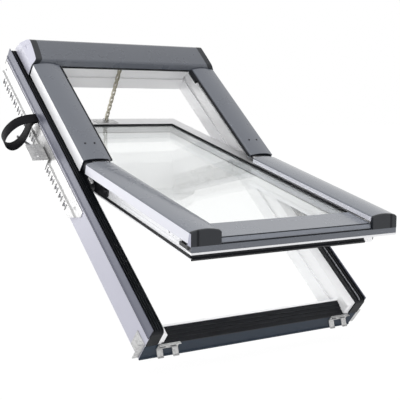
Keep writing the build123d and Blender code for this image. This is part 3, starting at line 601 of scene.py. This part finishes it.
# %% Zinc
zinc_steel = bpy.data.materials.new("zinc_steel")
zinc_steel.use_nodes = True
tree = zinc_steel.node_tree
shader = tree.nodes["Principled BSDF"]
where = new_node(tree, "ShaderNodeTexCoord")
crystals_in_metre = 210.0
spangle = new_node(
    tree, "ShaderNodeTexVoronoi", {"Vector": where.outputs["Object"], "Scale": crystals_in_metre}
)
split = new_node(tree, "ShaderNodeSeparateColor", {"Color": spangle.outputs["Color"]})
crystal_tone = new_node(
    tree, "ShaderNodeMapRange", {"Value": split.outputs[0], "To Min": 0.42, "To Max": 0.60}
)
crystal_colour = new_node(
    tree,
    "ShaderNodeCombineColor",
    {
        "Red": crystal_tone.outputs[0],
        "Green": crystal_tone.outputs[0],
        "Blue": crystal_tone.outputs[0],
    },
)
crystal_gloss = new_node(
    tree, "ShaderNodeMapRange", {"Value": split.outputs[1], "To Min": 0.30, "To Max": 0.46}
)
tree.links.new(crystal_colour.outputs[0], shader.inputs["Base Color"])
tree.links.new(crystal_gloss.outputs[0], shader.inputs["Roughness"])
shader.inputs["Metallic"].default_value = 0.75
print("zinc ready")

# %% [markdown]
# ## Glass
# The panes are clear, with the faint green of float glass. Light must pass them on its way to
# the profiles below, so they count as clear to shadow rays.

# %% Glass
clear_glass = bpy.data.materials.new("clear_glass")
clear_glass.use_nodes = True
tree = clear_glass.node_tree
shader = tree.nodes["Principled BSDF"]
where = new_node(tree, "ShaderNodeTexCoord")
smears = new_node(
    tree, "ShaderNodeTexNoise", {"Vector": where.outputs["Object"], "Scale": 6.0, "Detail": 6.0}
)
smear_gloss = new_node(
    tree,
    "ShaderNodeMapRange",
    {
        "Value": smears.outputs["Fac"],
        "From Min": 0.35,
        "From Max": 0.75,
        "To Min": 0.0,
        "To Max": 0.05,
    },
)
tree.links.new(smear_gloss.outputs[0], shader.inputs["Roughness"])
shader.inputs["Base Color"].default_value = (0.985, 0.994, 0.992, 1)
shader.inputs["Transmission Weight"].default_value = 1.0
shader.inputs["IOR"].default_value = 1.2
path = new_node(tree, "ShaderNodeLightPath")
see_through = new_node(tree, "ShaderNodeBsdfTransparent", {"Color": (0.985, 0.995, 0.99, 1)})
choice = new_node(
    tree,
    "ShaderNodeMixShader",
    {0: path.outputs["Is Shadow Ray"], 1: shader.outputs[0], 2: see_through.outputs[0]},
)
tree.links.new(choice.outputs[0], tree.nodes["Material Output"].inputs["Surface"])
print("glass ready")

# %% [markdown]
# ## Finishes on the CAD pieces
# The frame names a material slot for every piece, and each slot gets one finish. A few pieces
# are given a finish of their own by name, all of it painted light: lighter copies of the grey
# cover on the lower covers and the bottom cover, which face the light from above, darker copies
# on the hood and the front apron as painted shade, and a pale finish on the hood's end plates as
# a painted highlight.

# %% Give each CAD piece its finish
finish_of_slot = {
    "white_profile": white_profile,
    "grey_cover": grey_cover,
    "dark_moulding": dark_moulding,
    "black_seal": black_rubber,
    "black_fitting": black_fitting,
    "clear_glass": clear_glass,
    "spacer_metal": spacer_metal,
    "bright_metal": bright_metal,
    "flange_metal": flange_metal,
    "cladding_metal": cladding_metal,
    "zinc_steel": zinc_steel,
    "chain_steel": chain_steel,
    "webbing": webbing,
}
for part in frame["record"]["subparts"]:
    mesh = nodes[part["node"]].data
    mesh.materials.clear()
    mesh.materials.append(finish_of_slot[part["material_slot"]])
# These finishes are painted light: lighter copies where the light falls, darker copies in shade,
# and a pale painted highlight on the end plates.
painted_light_finish_of_piece = {
    "hood_end_plates": end_plate_painted_highlight,
    "hood": hood_grey_painted_shade,
    "lower_cover_left": sash_grey_painted_light,
    "lower_cover_right": sash_grey_painted_light,
    "bottom_cover": sash_grey_painted_light,
    "front_apron": hood_grey_painted_shade,
}
for name, material in painted_light_finish_of_piece.items():
    nodes[name].data.materials.clear()
    nodes[name].data.materials.append(material)
print("finished CAD pieces:", len(nodes))

# %% [markdown]
# ## Painted light and shade on the flanks
# The folded covers are grey on top, and their upright flanks catch the strong light from the left
# and look almost white; the flanks of the caps, the stiles and the frame differ from their fronts
# too, by how the light falls on them. A CAD mesh keeps its shape, but each of its faces may take
# another finish, so the faces that look outwards get a second one, which is painted light: a
# painted reflection on the lower cover flanks, painted highlights on the upper cover flanks and
# the caps, painted light on the stiles and painted shade on the frame. On the lower covers the
# faces that look inwards get it too. In the side gaskets, one wall of a groove gets a painted
# highlight.

# %% Flanks with painted light and shade
upright, rounded, slanted = 0.97, 0.9, 0.8
painted_light_flank_of_piece = {
    "upper_cover": (upper_flank_painted_light, upright),
    "lower_cover": (pale_flank_painted_reflection, upright),
    "hood_end_cap": (end_plate_painted_highlight, slanted),
    "lower_cover_cap": (cap_flank_painted_highlight, rounded),
    "frame_side": (frame_flank_painted_shade, upright),
    "sash_stile": (upper_flank_painted_light, upright),
}
# Outward faces, and inward faces on the lower covers, take their piece's painted light, highlight
# or shade finish.
for piece, (flank, least) in painted_light_flank_of_piece.items():
    for label, outer_side in (("left", -1), ("right", 1)):
        folded = nodes[f"{piece}_{label}"].data
        folded.materials.append(flank)
        for face in folded.polygons:
            facing = face.normal.x * outer_side
            if facing > least or (piece == "lower_cover" and facing < -least):
                face.material_index = 1
print("pieces with flanks:", 2 * len(painted_light_flank_of_piece))

# %% A painted highlight on one groove wall of the side gaskets
# One groove wall of black rubber, the one that looks inwards, gets a pale finish: a painted
# highlight.
groove_wall, wall_reach = 351.2, 0.4
for label, side in (("left", -1), ("right", 1)):
    gasket = nodes[f"side_gasket_{label}"].data
    gasket.materials.append(pale_line_painted_highlight)
    for face in gasket.polygons:
        near = abs(face.center.x * mm_in_metre - side * groove_wall) < wall_reach
        if near and face.normal.x * side < -rounded:
            face.material_index = 1
print("pale wall at", groove_wall, "mm from the middle")

# %% [markdown]
# ## Long seals and beads of painted shadow
# Thin black beads run along the long joints. Under the front edge of the sash they are rubber;
# along the inner edges of the upper covers, in the corners of the hood and under the flange
# strips they are painted shadow, black set where the joints lie in shade. Each bead is a small
# ellipse carried in a straight line, up the slope on both sides or across the window. Numbers
# are millimetres on the drawing.

# %% Strips and beads


def bead(middle, level, half_width, half_height, count=10):
    """The outline of a bead of rubber, an ellipse with a few corners."""
    turns = [2 * math.pi * index / count for index in range(count)]
    return [(middle + half_width * math.cos(t), level + half_height * math.sin(t)) for t in turns]


def add_piece(name, mesh, material):
    """Put a finished mesh in the scene as a piece, with its finish."""
    mesh.materials.clear()
    mesh.materials.append(material)
    made = bpy.data.objects.new(name, mesh)
    bpy.context.scene.collection.objects.link(made)
    return made


def swept(name, rows, body, material):
    """Strips through rings of places, closed at both ends. Each row of rings is one strip."""
    form = bmesh.new()
    for rings in rows:
        loops = [[form.verts.new(place_on[body](*point)) for point in ring] for ring in rings]
        form.faces.new(loops[0])
        form.faces.new(loops[-1])
        for first, second in zip(loops, loops[1:]):
            for index in range(len(first)):
                form.faces.new((first[index - 1], first[index], second[index], second[index - 1]))
    bmesh.ops.recalc_face_normals(form, faces=form.faces)
    mesh = bpy.data.meshes.new(name)
    form.to_mesh(mesh)
    form.free()
    made = add_piece(name, mesh, material)
    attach(made, body)
    print(name, "has", len(mesh.polygons), "faces")


def side_strips(name, outline, low, high, body, material):
    """A strip up the slope on each side of the window, from an outline of x and z."""
    rows = [[[(side * x, y, z) for x, z in outline] for y in (low, high)] for side in (-1, 1)]
    swept(name, rows, body, material)


def cross_strip(name, outline, half, body, material):
    """A strip across the window, from an outline of y and z."""
    rows = [[[(x, y, z) for y, z in outline] for x in (-half, half)]]
    swept(name, rows, body, material)


print("strip helpers ready")

# %% Set the seals and the painted shadow beads
# A black line under the flange strips: painted shadow in the gap below each strip's foot.
side_strips(
    "flange_painted_shadow",
    bead(middle=371.3, level=-78.6, half_width=1.4, half_height=2.8),
    low=-589,
    high=589,
    body="frame",
    material=black_rubber,
)
# Black beads along the inner edges of the upper covers: painted shade where the covers' inner legs
# lie in shadow.
side_strips(
    "upper_cover_painted_shade",
    bead(middle=253.6, level=-6.9, half_width=3.6, half_height=3.8),
    low=4,
    high=450,
    body="frame",
    material=black_rubber,
)
# Black beads in the corners under the hood: painted shadow in the dark space between the hood, the
# covers and the frame.
side_strips(
    "hood_corner_painted_shadow",
    bead(middle=250.5, level=-13, half_width=5, half_height=8),
    low=396,
    high=449,
    body="frame",
    material=black_rubber,
)
cross_strip(
    "apron_seal",
    bead(middle=-615, level=-34, half_width=1.6, half_height=1.6),
    half=253,
    body="sash",
    material=black_rubber,
)
cross_strip(
    "front_edge_line",
    bead(middle=-606.4, level=-21.2, half_width=1.2, half_height=1.2),
    half=253,
    body="sash",
    material=black_rubber,
)

# %% [markdown]
# ## Pressed discs by rule
# A link plate, a chain pin and a screw head are all a disc with something done to it: pulled
# long with a narrower waist, or with its two ends made smaller or larger. One Geometry Nodes
# tree makes them all from named sizes, so a new size needs no new mesh code.

# %% Tree helpers


def piece_tree(name, inputs):
    """A Geometry Nodes tree with named inputs and one geometry output."""
    tree = bpy.data.node_groups.new(name, "GeometryNodeTree")
    tree.interface.new_socket("Geometry", in_out="OUTPUT", socket_type="NodeSocketGeometry")
    for label, kind, value in inputs:
        socket = tree.interface.new_socket(label, in_out="INPUT", socket_type=kind)
        if value is not None:
            socket.default_value = value
    return tree, tree.nodes.new("NodeGroupInput").outputs, tree.nodes.new("NodeGroupOutput").inputs


def math_node(tree, operation, *values):
    """One step of arithmetic, whose values are numbers or other nodes' outputs."""
    return new_node(tree, "ShaderNodeMath", dict(enumerate(values)), operation=operation).outputs[0]


GEOMETRY, VECTOR = "NodeSocketGeometry", "NodeSocketVector"
MATERIAL, COUNT = "NodeSocketMaterial", "NodeSocketInt"
print("tree helpers ready")

# %% The pressed disc tree
hair = 0.00001
pressed_disc, given, wanted = piece_tree(
    "pressed_disc",
    [
        ("Radius", NUMBER, 0.005),
        ("Thickness", NUMBER, 0.0016),
        ("Stretch", NUMBER, 0.0),
        ("Waist", NUMBER, 1.0),
        ("End size", NUMBER, 0.9),
    ],
)
disc = new_node(
    pressed_disc,
    "GeometryNodeMeshCylinder",
    {"Vertices": 20, "Side Segments": 5, "Radius": given["Radius"], "Depth": given["Thickness"]},
)
spot = new_node(pressed_disc, "GeometryNodeInputPosition")
parts = new_node(pressed_disc, "ShaderNodeSeparateXYZ", {0: spot.outputs[0]})
half_of = new_node(
    pressed_disc,
    "ShaderNodeMapRange",
    {
        "Value": parts.outputs["Y"],
        "From Min": -hair,
        "From Max": hair,
        "To Min": -1.0,
        "To Max": 1.0,
    },
)
print("disc sizes:", [socket.name for socket in given][:-1])

# %% Waist, ends and stretch
middle_row = math_node(
    pressed_disc, "SUBTRACT", 1.0, math_node(pressed_disc, "ABSOLUTE", half_of.outputs[0])
)
waist_cut = math_node(
    pressed_disc, "MULTIPLY", middle_row, math_node(pressed_disc, "SUBTRACT", 1.0, given["Waist"])
)
end_rows = 0.42
near_end = math_node(
    pressed_disc,
    "GREATER_THAN",
    math_node(pressed_disc, "ABSOLUTE", parts.outputs["Z"]),
    math_node(pressed_disc, "MULTIPLY", given["Thickness"], end_rows),
)
end_change = math_node(
    pressed_disc, "MULTIPLY", near_end, math_node(pressed_disc, "SUBTRACT", given["End size"], 1.0)
)
size = math_node(pressed_disc, "ADD", end_change, 1.0)
width = math_node(
    pressed_disc,
    "MULTIPLY",
    math_node(pressed_disc, "SUBTRACT", size, waist_cut),
    parts.outputs["X"],
)
pull = math_node(
    pressed_disc,
    "MULTIPLY",
    math_node(pressed_disc, "MULTIPLY", half_of.outputs[0], 0.5),
    given["Stretch"],
)
length = math_node(pressed_disc, "MULTIPLY_ADD", size, parts.outputs["Y"], pull)
moved = new_node(
    pressed_disc, "ShaderNodeCombineXYZ", {"X": width, "Y": length, "Z": parts.outputs["Z"]}
)
shaped = new_node(
    pressed_disc,
    "GeometryNodeSetPosition",
    {"Geometry": disc.outputs["Mesh"], "Position": moved.outputs[0]},
)
pressed_disc.links.new(shaped.outputs[0], wanted["Geometry"])
print("tree ready:", pressed_disc.name)

# %% Discs, moves and joins inside a tree


def disc_of(tree, radius, thickness, stretch=0.0, waist=1.0, end_size=0.9):
    """A pressed disc inside another tree. Each size is a number or an output of that tree."""
    values = {
        "Radius": radius,
        "Thickness": thickness,
        "Stretch": stretch,
        "Waist": waist,
        "End size": end_size,
    }
    return new_node(tree, "GeometryNodeGroup", values, node_tree=pressed_disc).outputs[0]


def moved_by(tree, geometry, offset=None, turn=None):
    """Move and turn a geometry by vectors, which may be inputs of the tree."""
    inputs = {"Geometry": geometry}
    if offset is not None:
        inputs["Translation"] = offset
    if turn is not None:
        inputs["Rotation"] = new_node(tree, "FunctionNodeEulerToRotation", {0: turn}).outputs[0]
    return new_node(tree, "GeometryNodeTransform", inputs).outputs[0]


def joined(tree, *geometries):
    """Several geometries as one."""
    made = new_node(tree, "GeometryNodeJoinGeometry")
    for geometry in geometries:
        tree.links.new(geometry, made.inputs[0])
    return made.outputs[0]


print("disc helpers ready")

# %% Run a tree


def run_tree(name, tree, values, body, material, start_mesh=None):
    """Run a tree, keep its result as a plain mesh, and let the piece ride on its body."""
    carrier = bpy.data.objects.new(
        name + "_carrier", start_mesh or bpy.data.meshes.new(name + "_start")
    )
    bpy.context.scene.collection.objects.link(carrier)
    modifier = carrier.modifiers.new("tree", "NODES")
    modifier.node_group = tree
    values = {**values, "Finish": material}
    for item in tree.interface.items_tree:
        if item.item_type == "SOCKET" and item.in_out == "INPUT" and item.name in values:
            modifier[item.identifier] = values[item.name]
    graph = bpy.context.evaluated_depsgraph_get()
    mesh = bpy.data.meshes.new_from_object(carrier.evaluated_get(graph))
    bpy.data.objects.remove(carrier)
    made = add_piece(name, mesh, material)
    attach(made, body)
    print(name, "has", len(mesh.polygons), "faces")
    return made


print("ready to run trees")

# %% [markdown]
# ## The push chain
# A push chain has pairs of link plates, inner and outer in turn, on riveted pins. It can push
# as well as pull, because its plates meet back to back on one side. The tree below strings
# the pairs along a line, and one move at its end lays the line from the mouth of the drive
# to the anchor on the sash. As the sash closes, the drive takes the chain in. Here the chain is
# laid once, in its open run.

# %% The chain tree's sizes
link_chain, given, wanted = piece_tree(
    "link_chain",
    [
        ("Links", COUNT, 17),
        ("Pitch", NUMBER, 0.015),
        ("Plate radius", NUMBER, 0.0049),
        ("Plate thickness", NUMBER, 0.0016),
        ("Waist", NUMBER, 0.97),
        ("Inner place", NUMBER, 0.0032),
        ("Outer place", NUMBER, 0.0049),
        ("Pin radius", NUMBER, 0.0018),
        ("Pin length", NUMBER, 0.0124),
        ("Start", VECTOR, (0, 0, 0)),
        ("Turn", VECTOR, (0, 0, 0)),
        ("Finish", MATERIAL, None),
    ],
)
print("inputs:", [socket.name for socket in given][:-1])

# %% A pair of link plates


def plate_pair(distance):
    """Two link plates, one on each side of the chain's middle."""
    plate = disc_of(
        link_chain, given["Plate radius"], given["Plate thickness"], given["Pitch"], given["Waist"]
    )
    above = new_node(link_chain, "ShaderNodeCombineXYZ", {"Z": distance})
    below = new_node(
        link_chain, "ShaderNodeCombineXYZ", {"Z": math_node(link_chain, "MULTIPLY", distance, -1.0)}
    )
    return joined(
        link_chain,
        moved_by(link_chain, plate, above.outputs[0]),
        moved_by(link_chain, plate, below.outputs[0]),
    )


inner_pair, outer_pair = plate_pair(given["Inner place"]), plate_pair(given["Outer place"])
print("two pairs of plates")

# %% String the plates and pins
step = new_node(link_chain, "ShaderNodeCombineXYZ", {"Y": given["Pitch"]})
half_step = new_node(
    link_chain,
    "ShaderNodeCombineXYZ",
    {"Y": math_node(link_chain, "MULTIPLY", given["Pitch"], 0.5)},
)
line = new_node(
    link_chain,
    "GeometryNodeMeshLine",
    {"Count": given["Links"], "Start Location": half_step.outputs[0], "Offset": step.outputs[0]},
    mode="OFFSET",
)
number = new_node(link_chain, "GeometryNodeInputIndex")
odd = math_node(link_chain, "MODULO", number.outputs[0], 2.0)
even = math_node(link_chain, "SUBTRACT", 1.0, odd)
outer_row = new_node(
    link_chain,
    "GeometryNodeInstanceOnPoints",
    {"Points": line.outputs[0], "Selection": odd, "Instance": outer_pair},
)
inner_row = new_node(
    link_chain,
    "GeometryNodeInstanceOnPoints",
    {"Points": line.outputs[0], "Selection": even, "Instance": inner_pair},
)
rivet_spread = 1.25
pin = disc_of(link_chain, given["Pin radius"], given["Pin length"], end_size=rivet_spread)
pin_line = new_node(
    link_chain,
    "GeometryNodeMeshLine",
    {"Count": given["Links"], "Start Location": step.outputs[0], "Offset": step.outputs[0]},
    mode="OFFSET",
)
pins = new_node(
    link_chain, "GeometryNodeInstanceOnPoints", {"Points": pin_line.outputs[0], "Instance": pin}
)
whole = joined(link_chain, outer_row.outputs[0], inner_row.outputs[0], pins.outputs[0])
laid = moved_by(link_chain, whole, given["Start"], given["Turn"])
real = new_node(link_chain, "GeometryNodeRealizeInstances", {0: laid})
dressed = new_node(
    link_chain,
    "GeometryNodeSetMaterial",
    {"Geometry": real.outputs[0], "Material": given["Finish"]},
)
link_chain.links.new(dressed.outputs[0], wanted["Geometry"])
print("tree ready:", link_chain.name)

# %% Lay the chain
anchor_y, anchor_z = 498, -14
anchor_pin_open = open_place(0, anchor_y, anchor_z)
mouth = place(0, 503, -6)
chain_line = (mouth - anchor_pin_open).normalized()
chain_turn = Matrix((chain_line.cross(across), chain_line, across)).transposed().to_euler()
push_chain = run_tree(
    "push_chain",
    link_chain,
    {"Start": anchor_pin_open, "Turn": chain_turn},
    "frame",
    chain_steel,
)
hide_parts("push_chain_links", "push_chain_pins")
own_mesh(push_chain)

# %% [markdown]
# ## Screws
# A screw head is a low disc with a cross cut into it. The tree sets one on every point of a
# small mesh of points, turned the way that the tree is told. Two kinds are needed: the cover
# screws, and the larger ones that hold the fixing rails.

# %% The screw tree
screw_heads, given, wanted = piece_tree(
    "screw_heads",
    [
        ("Points", GEOMETRY, None),
        ("Radius", NUMBER, 0.0032),
        ("Height", NUMBER, 0.0024),
        ("Turn", VECTOR, (0, 0, 0)),
        ("Finish", MATERIAL, None),
    ],
)
head_top, cut_length, cut_width, cut_lift = 0.8, 1.1, 0.26, 0.6
head = disc_of(screw_heads, given["Radius"], given["Height"], end_size=head_top)
long_side = math_node(screw_heads, "MULTIPLY", given["Radius"], cut_length)
short_side = math_node(screw_heads, "MULTIPLY", given["Radius"], cut_width)
arm = new_node(
    screw_heads, "ShaderNodeCombineXYZ", {"X": long_side, "Y": short_side, "Z": given["Height"]}
)
cutter = new_node(screw_heads, "GeometryNodeMeshCube", {"Size": arm.outputs[0]})
lifted = new_node(
    screw_heads,
    "ShaderNodeCombineXYZ",
    {"Z": math_node(screw_heads, "MULTIPLY", given["Height"], cut_lift)},
)
first_cut = moved_by(screw_heads, cutter.outputs[0], lifted.outputs[0])
second_cut = moved_by(screw_heads, cutter.outputs[0], lifted.outputs[0], (0, 0, math.pi / 2))
crossed = new_node(screw_heads, "GeometryNodeMeshBoolean", {"Mesh 1": head}, operation="DIFFERENCE")
screw_heads.links.new(first_cut, crossed.inputs["Mesh 2"])
screw_heads.links.new(second_cut, crossed.inputs["Mesh 2"])
heads = new_node(
    screw_heads,
    "GeometryNodeInstanceOnPoints",
    {"Points": given["Points"], "Instance": crossed.outputs["Mesh"]},
)
screw_heads.links.new(
    new_node(screw_heads, "FunctionNodeEulerToRotation", {0: given["Turn"]}).outputs[0],
    heads.inputs["Rotation"],
)
real = new_node(screw_heads, "GeometryNodeRealizeInstances", {0: heads.outputs[0]})
dressed = new_node(
    screw_heads,
    "GeometryNodeSetMaterial",
    {"Geometry": real.outputs[0], "Material": given["Finish"]},
)
screw_heads.links.new(dressed.outputs[0], wanted["Geometry"])
print("tree ready:", screw_heads.name)

# %% Set the screws


def screws(name, places, facing, radius, height, material, replaced):
    """Screw heads at some places of the frame's drawing, all facing one way."""
    points = bpy.data.meshes.new(name + "_points")
    points.from_pydata([place(*p) for p in places], [], [])
    turn = Vector(facing).to_track_quat("Z", "Y").to_euler()
    made = run_tree(
        name,
        screw_heads,
        {"Radius": radius, "Height": height, "Turn": turn},
        "frame",
        material,
        points,
    )
    if replaced:
        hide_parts(replaced)


cover_screw_y = 69
cover_screw_x_and_z = ((287, 5.0), (318, 4.6))
cover_screw_places = [
    (side * x, cover_screw_y, z) for side in (-1, 1) for x, z in cover_screw_x_and_z
]
screws(
    "cover_screw_heads",
    cover_screw_places,
    outwards,
    radius=0.0032,
    height=0.0024,
    material=black_fitting,
    replaced="cover_screws",
)
rail_screw_x, rail_screw_z = 373.4, -116
rail_screw_rows = (571, 247, -77)
for side, label in ((-1, "left"), (1, "right")):
    rail_screw_places = [(side * rail_screw_x, y, rail_screw_z) for y in rail_screw_rows]
    replaced = None if side < 0 else "rail_screws"
    screws(
        f"rail_screw_heads_{label}",
        rail_screw_places,
        across * side,
        radius=0.004,
        height=0.003,
        material=zinc_steel,
        replaced=replaced,
    )

# %% [markdown]
# ## Lips of the rail slots
# The slots of a fixing rail are punched, and the punch turns a small lip outwards at the ends
# of each slot. The tree sets a bar at every step of a line, so each rail takes two runs of the
# tree, one for the low ends of its slots and one for the high ends.

# %% The lip tree
lip_row, given, wanted = piece_tree(
    "lip_row",
    [
        ("Lips", COUNT, 17),
        ("Size", VECTOR, (0, 0, 0)),
        ("Start", VECTOR, (0, 0, 0)),
        ("Step", VECTOR, (0, 0, 0)),
        ("Turn", VECTOR, (0, 0, 0)),
        ("Finish", MATERIAL, None),
    ],
)
lip_line = new_node(
    lip_row,
    "GeometryNodeMeshLine",
    {"Count": given["Lips"], "Start Location": given["Start"], "Offset": given["Step"]},
    mode="OFFSET",
)
bar = new_node(lip_row, "GeometryNodeMeshCube", {"Size": given["Size"]})
lips = new_node(
    lip_row,
    "GeometryNodeInstanceOnPoints",
    {"Points": lip_line.outputs[0], "Instance": bar.outputs["Mesh"]},
)
lip_row.links.new(
    new_node(lip_row, "FunctionNodeEulerToRotation", {0: given["Turn"]}).outputs[0],
    lips.inputs["Rotation"],
)
real = new_node(lip_row, "GeometryNodeRealizeInstances", {0: lips.outputs[0]})
dressed = new_node(
    lip_row, "GeometryNodeSetMaterial", {"Geometry": real.outputs[0], "Material": given["Finish"]}
)
lip_row.links.new(dressed.outputs[0], wanted["Geometry"])
print("tree ready:", lip_row.name)

# %% Set the lips
first_slot, slot_pitch, slot_z = -31, 36, -150
lip_size = (0.0040, 0.0022, 0.0220)
lip_x, lip_from_middle = 377.6, 8.3
slope_angles = slope_turn.to_euler()
for side, label in ((-1, "left"), (1, "right")):
    for end, edge in (("low", -lip_from_middle), ("high", lip_from_middle)):
        sizes = {
            "Size": lip_size,
            "Start": place(side * lip_x, first_slot + edge, slot_z),
            "Step": up_slope * slot_pitch / mm_in_metre,
            "Turn": slope_angles,
        }
        run_tree(f"slot_lips_{label}_{end}", lip_row, sizes, "frame", zinc_steel)

# %% [markdown]
# ## The carrying strap
# The strap is a loop of black webbing, woven flat and folded over on itself. Its line is a
# smooth curve through a few points of the drawing, and its edges are rounded, because real
# webbing has a thicker selvedge. It gets a UV map in metres, so that the weave keeps its true
# size all along the loop.

# %% The strap's line
strap_points = [
    (-371.6, -80.9),
    (-386, -82.4),
    (-405, -86.5),
    (-430, -97),
    (-449, -116),
    (-461, -142),
    (-462.5, -166),
    (-455, -184),
    (-440, -196.5),
    (-425, -199),
    (-411, -190),
    (-400, -172),
    (-394, -148),
    (-391.5, -122),
    (-390, -100),
    (-384.5, -88.5),
    (-371.6, -85),
]
strap_low, strap_high, strap_half_thickness = 266, 304, 0.8
smooth_steps = 6
strap_line = []
for index in range(len(strap_points) - 1):
    before = Vector(strap_points[max(index - 1, 0)])
    first, second = Vector(strap_points[index]), Vector(strap_points[index + 1])
    after = Vector(strap_points[min(index + 2, len(strap_points) - 1)])
    for step_index in range(smooth_steps):
        t = step_index / smooth_steps
        curve = 2 * first + (second - before) * t + (
            2 * before - 5 * first + 4 * second - after
        ) * t**2
        curve += (3 * first - before - 3 * second + after) * t**3
        strap_line.append(curve / 2)
strap_line.append(Vector(strap_points[-1]))
print("places on the strap's line:", len(strap_line))

# %% Rings around the line
form = bmesh.new()
uv_layer = form.loops.layers.uv.new("UVMap")
selvedge = 1.0
across_strap = [
    (strap_low, 0),
    (strap_low + selvedge, 1),
    (strap_high - selvedge, 1),
    (strap_high, 0),
    (strap_high - selvedge, -1),
    (strap_low + selvedge, -1),
]
rings, run = [], [0.0]
for index, point in enumerate(strap_line):
    ahead = strap_line[min(index + 1, len(strap_line) - 1)] - strap_line[max(index - 1, 0)]
    side_way = Vector((-ahead.y, ahead.x)).normalized() * strap_half_thickness
    ring = [
        form.verts.new(place(point.x + side_way.x * s, y, point.y + side_way.y * s))
        for y, s in across_strap
    ]
    rings.append(ring)
    if index:
        run.append(run[-1] + (point - strap_line[index - 1]).length / mm_in_metre)
print("strap length in metres:", round(run[-1], 3))

# %% The woven skin
for index in range(len(rings) - 1):
    for corner in range(len(across_strap)):
        after_corner = (corner + 1) % len(across_strap)
        face = form.faces.new(
            (
                rings[index][corner],
                rings[index][after_corner],
                rings[index + 1][after_corner],
                rings[index + 1][corner],
            )
        )
        face.smooth = True
        near_edge, far_edge = across_strap[corner][0], across_strap[after_corner][0]
        corners_uv = [
            (near_edge, run[index]),
            (far_edge, run[index]),
            (far_edge, run[index + 1]),
            (near_edge, run[index + 1]),
        ]
        for loop, (u, v) in zip(face.loops, corners_uv):
            loop[uv_layer].uv = (u / mm_in_metre, v)
form.faces.new(rings[0])
form.faces.new(rings[-1])
bmesh.ops.recalc_face_normals(form, faces=form.faces)
mesh = bpy.data.meshes.new("strap_webbing")
form.to_mesh(mesh)
form.free()
strap = add_piece("strap_webbing", mesh, webbing)
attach(strap, "frame")
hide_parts("carrying_strap")
print("strap faces:", len(mesh.polygons))
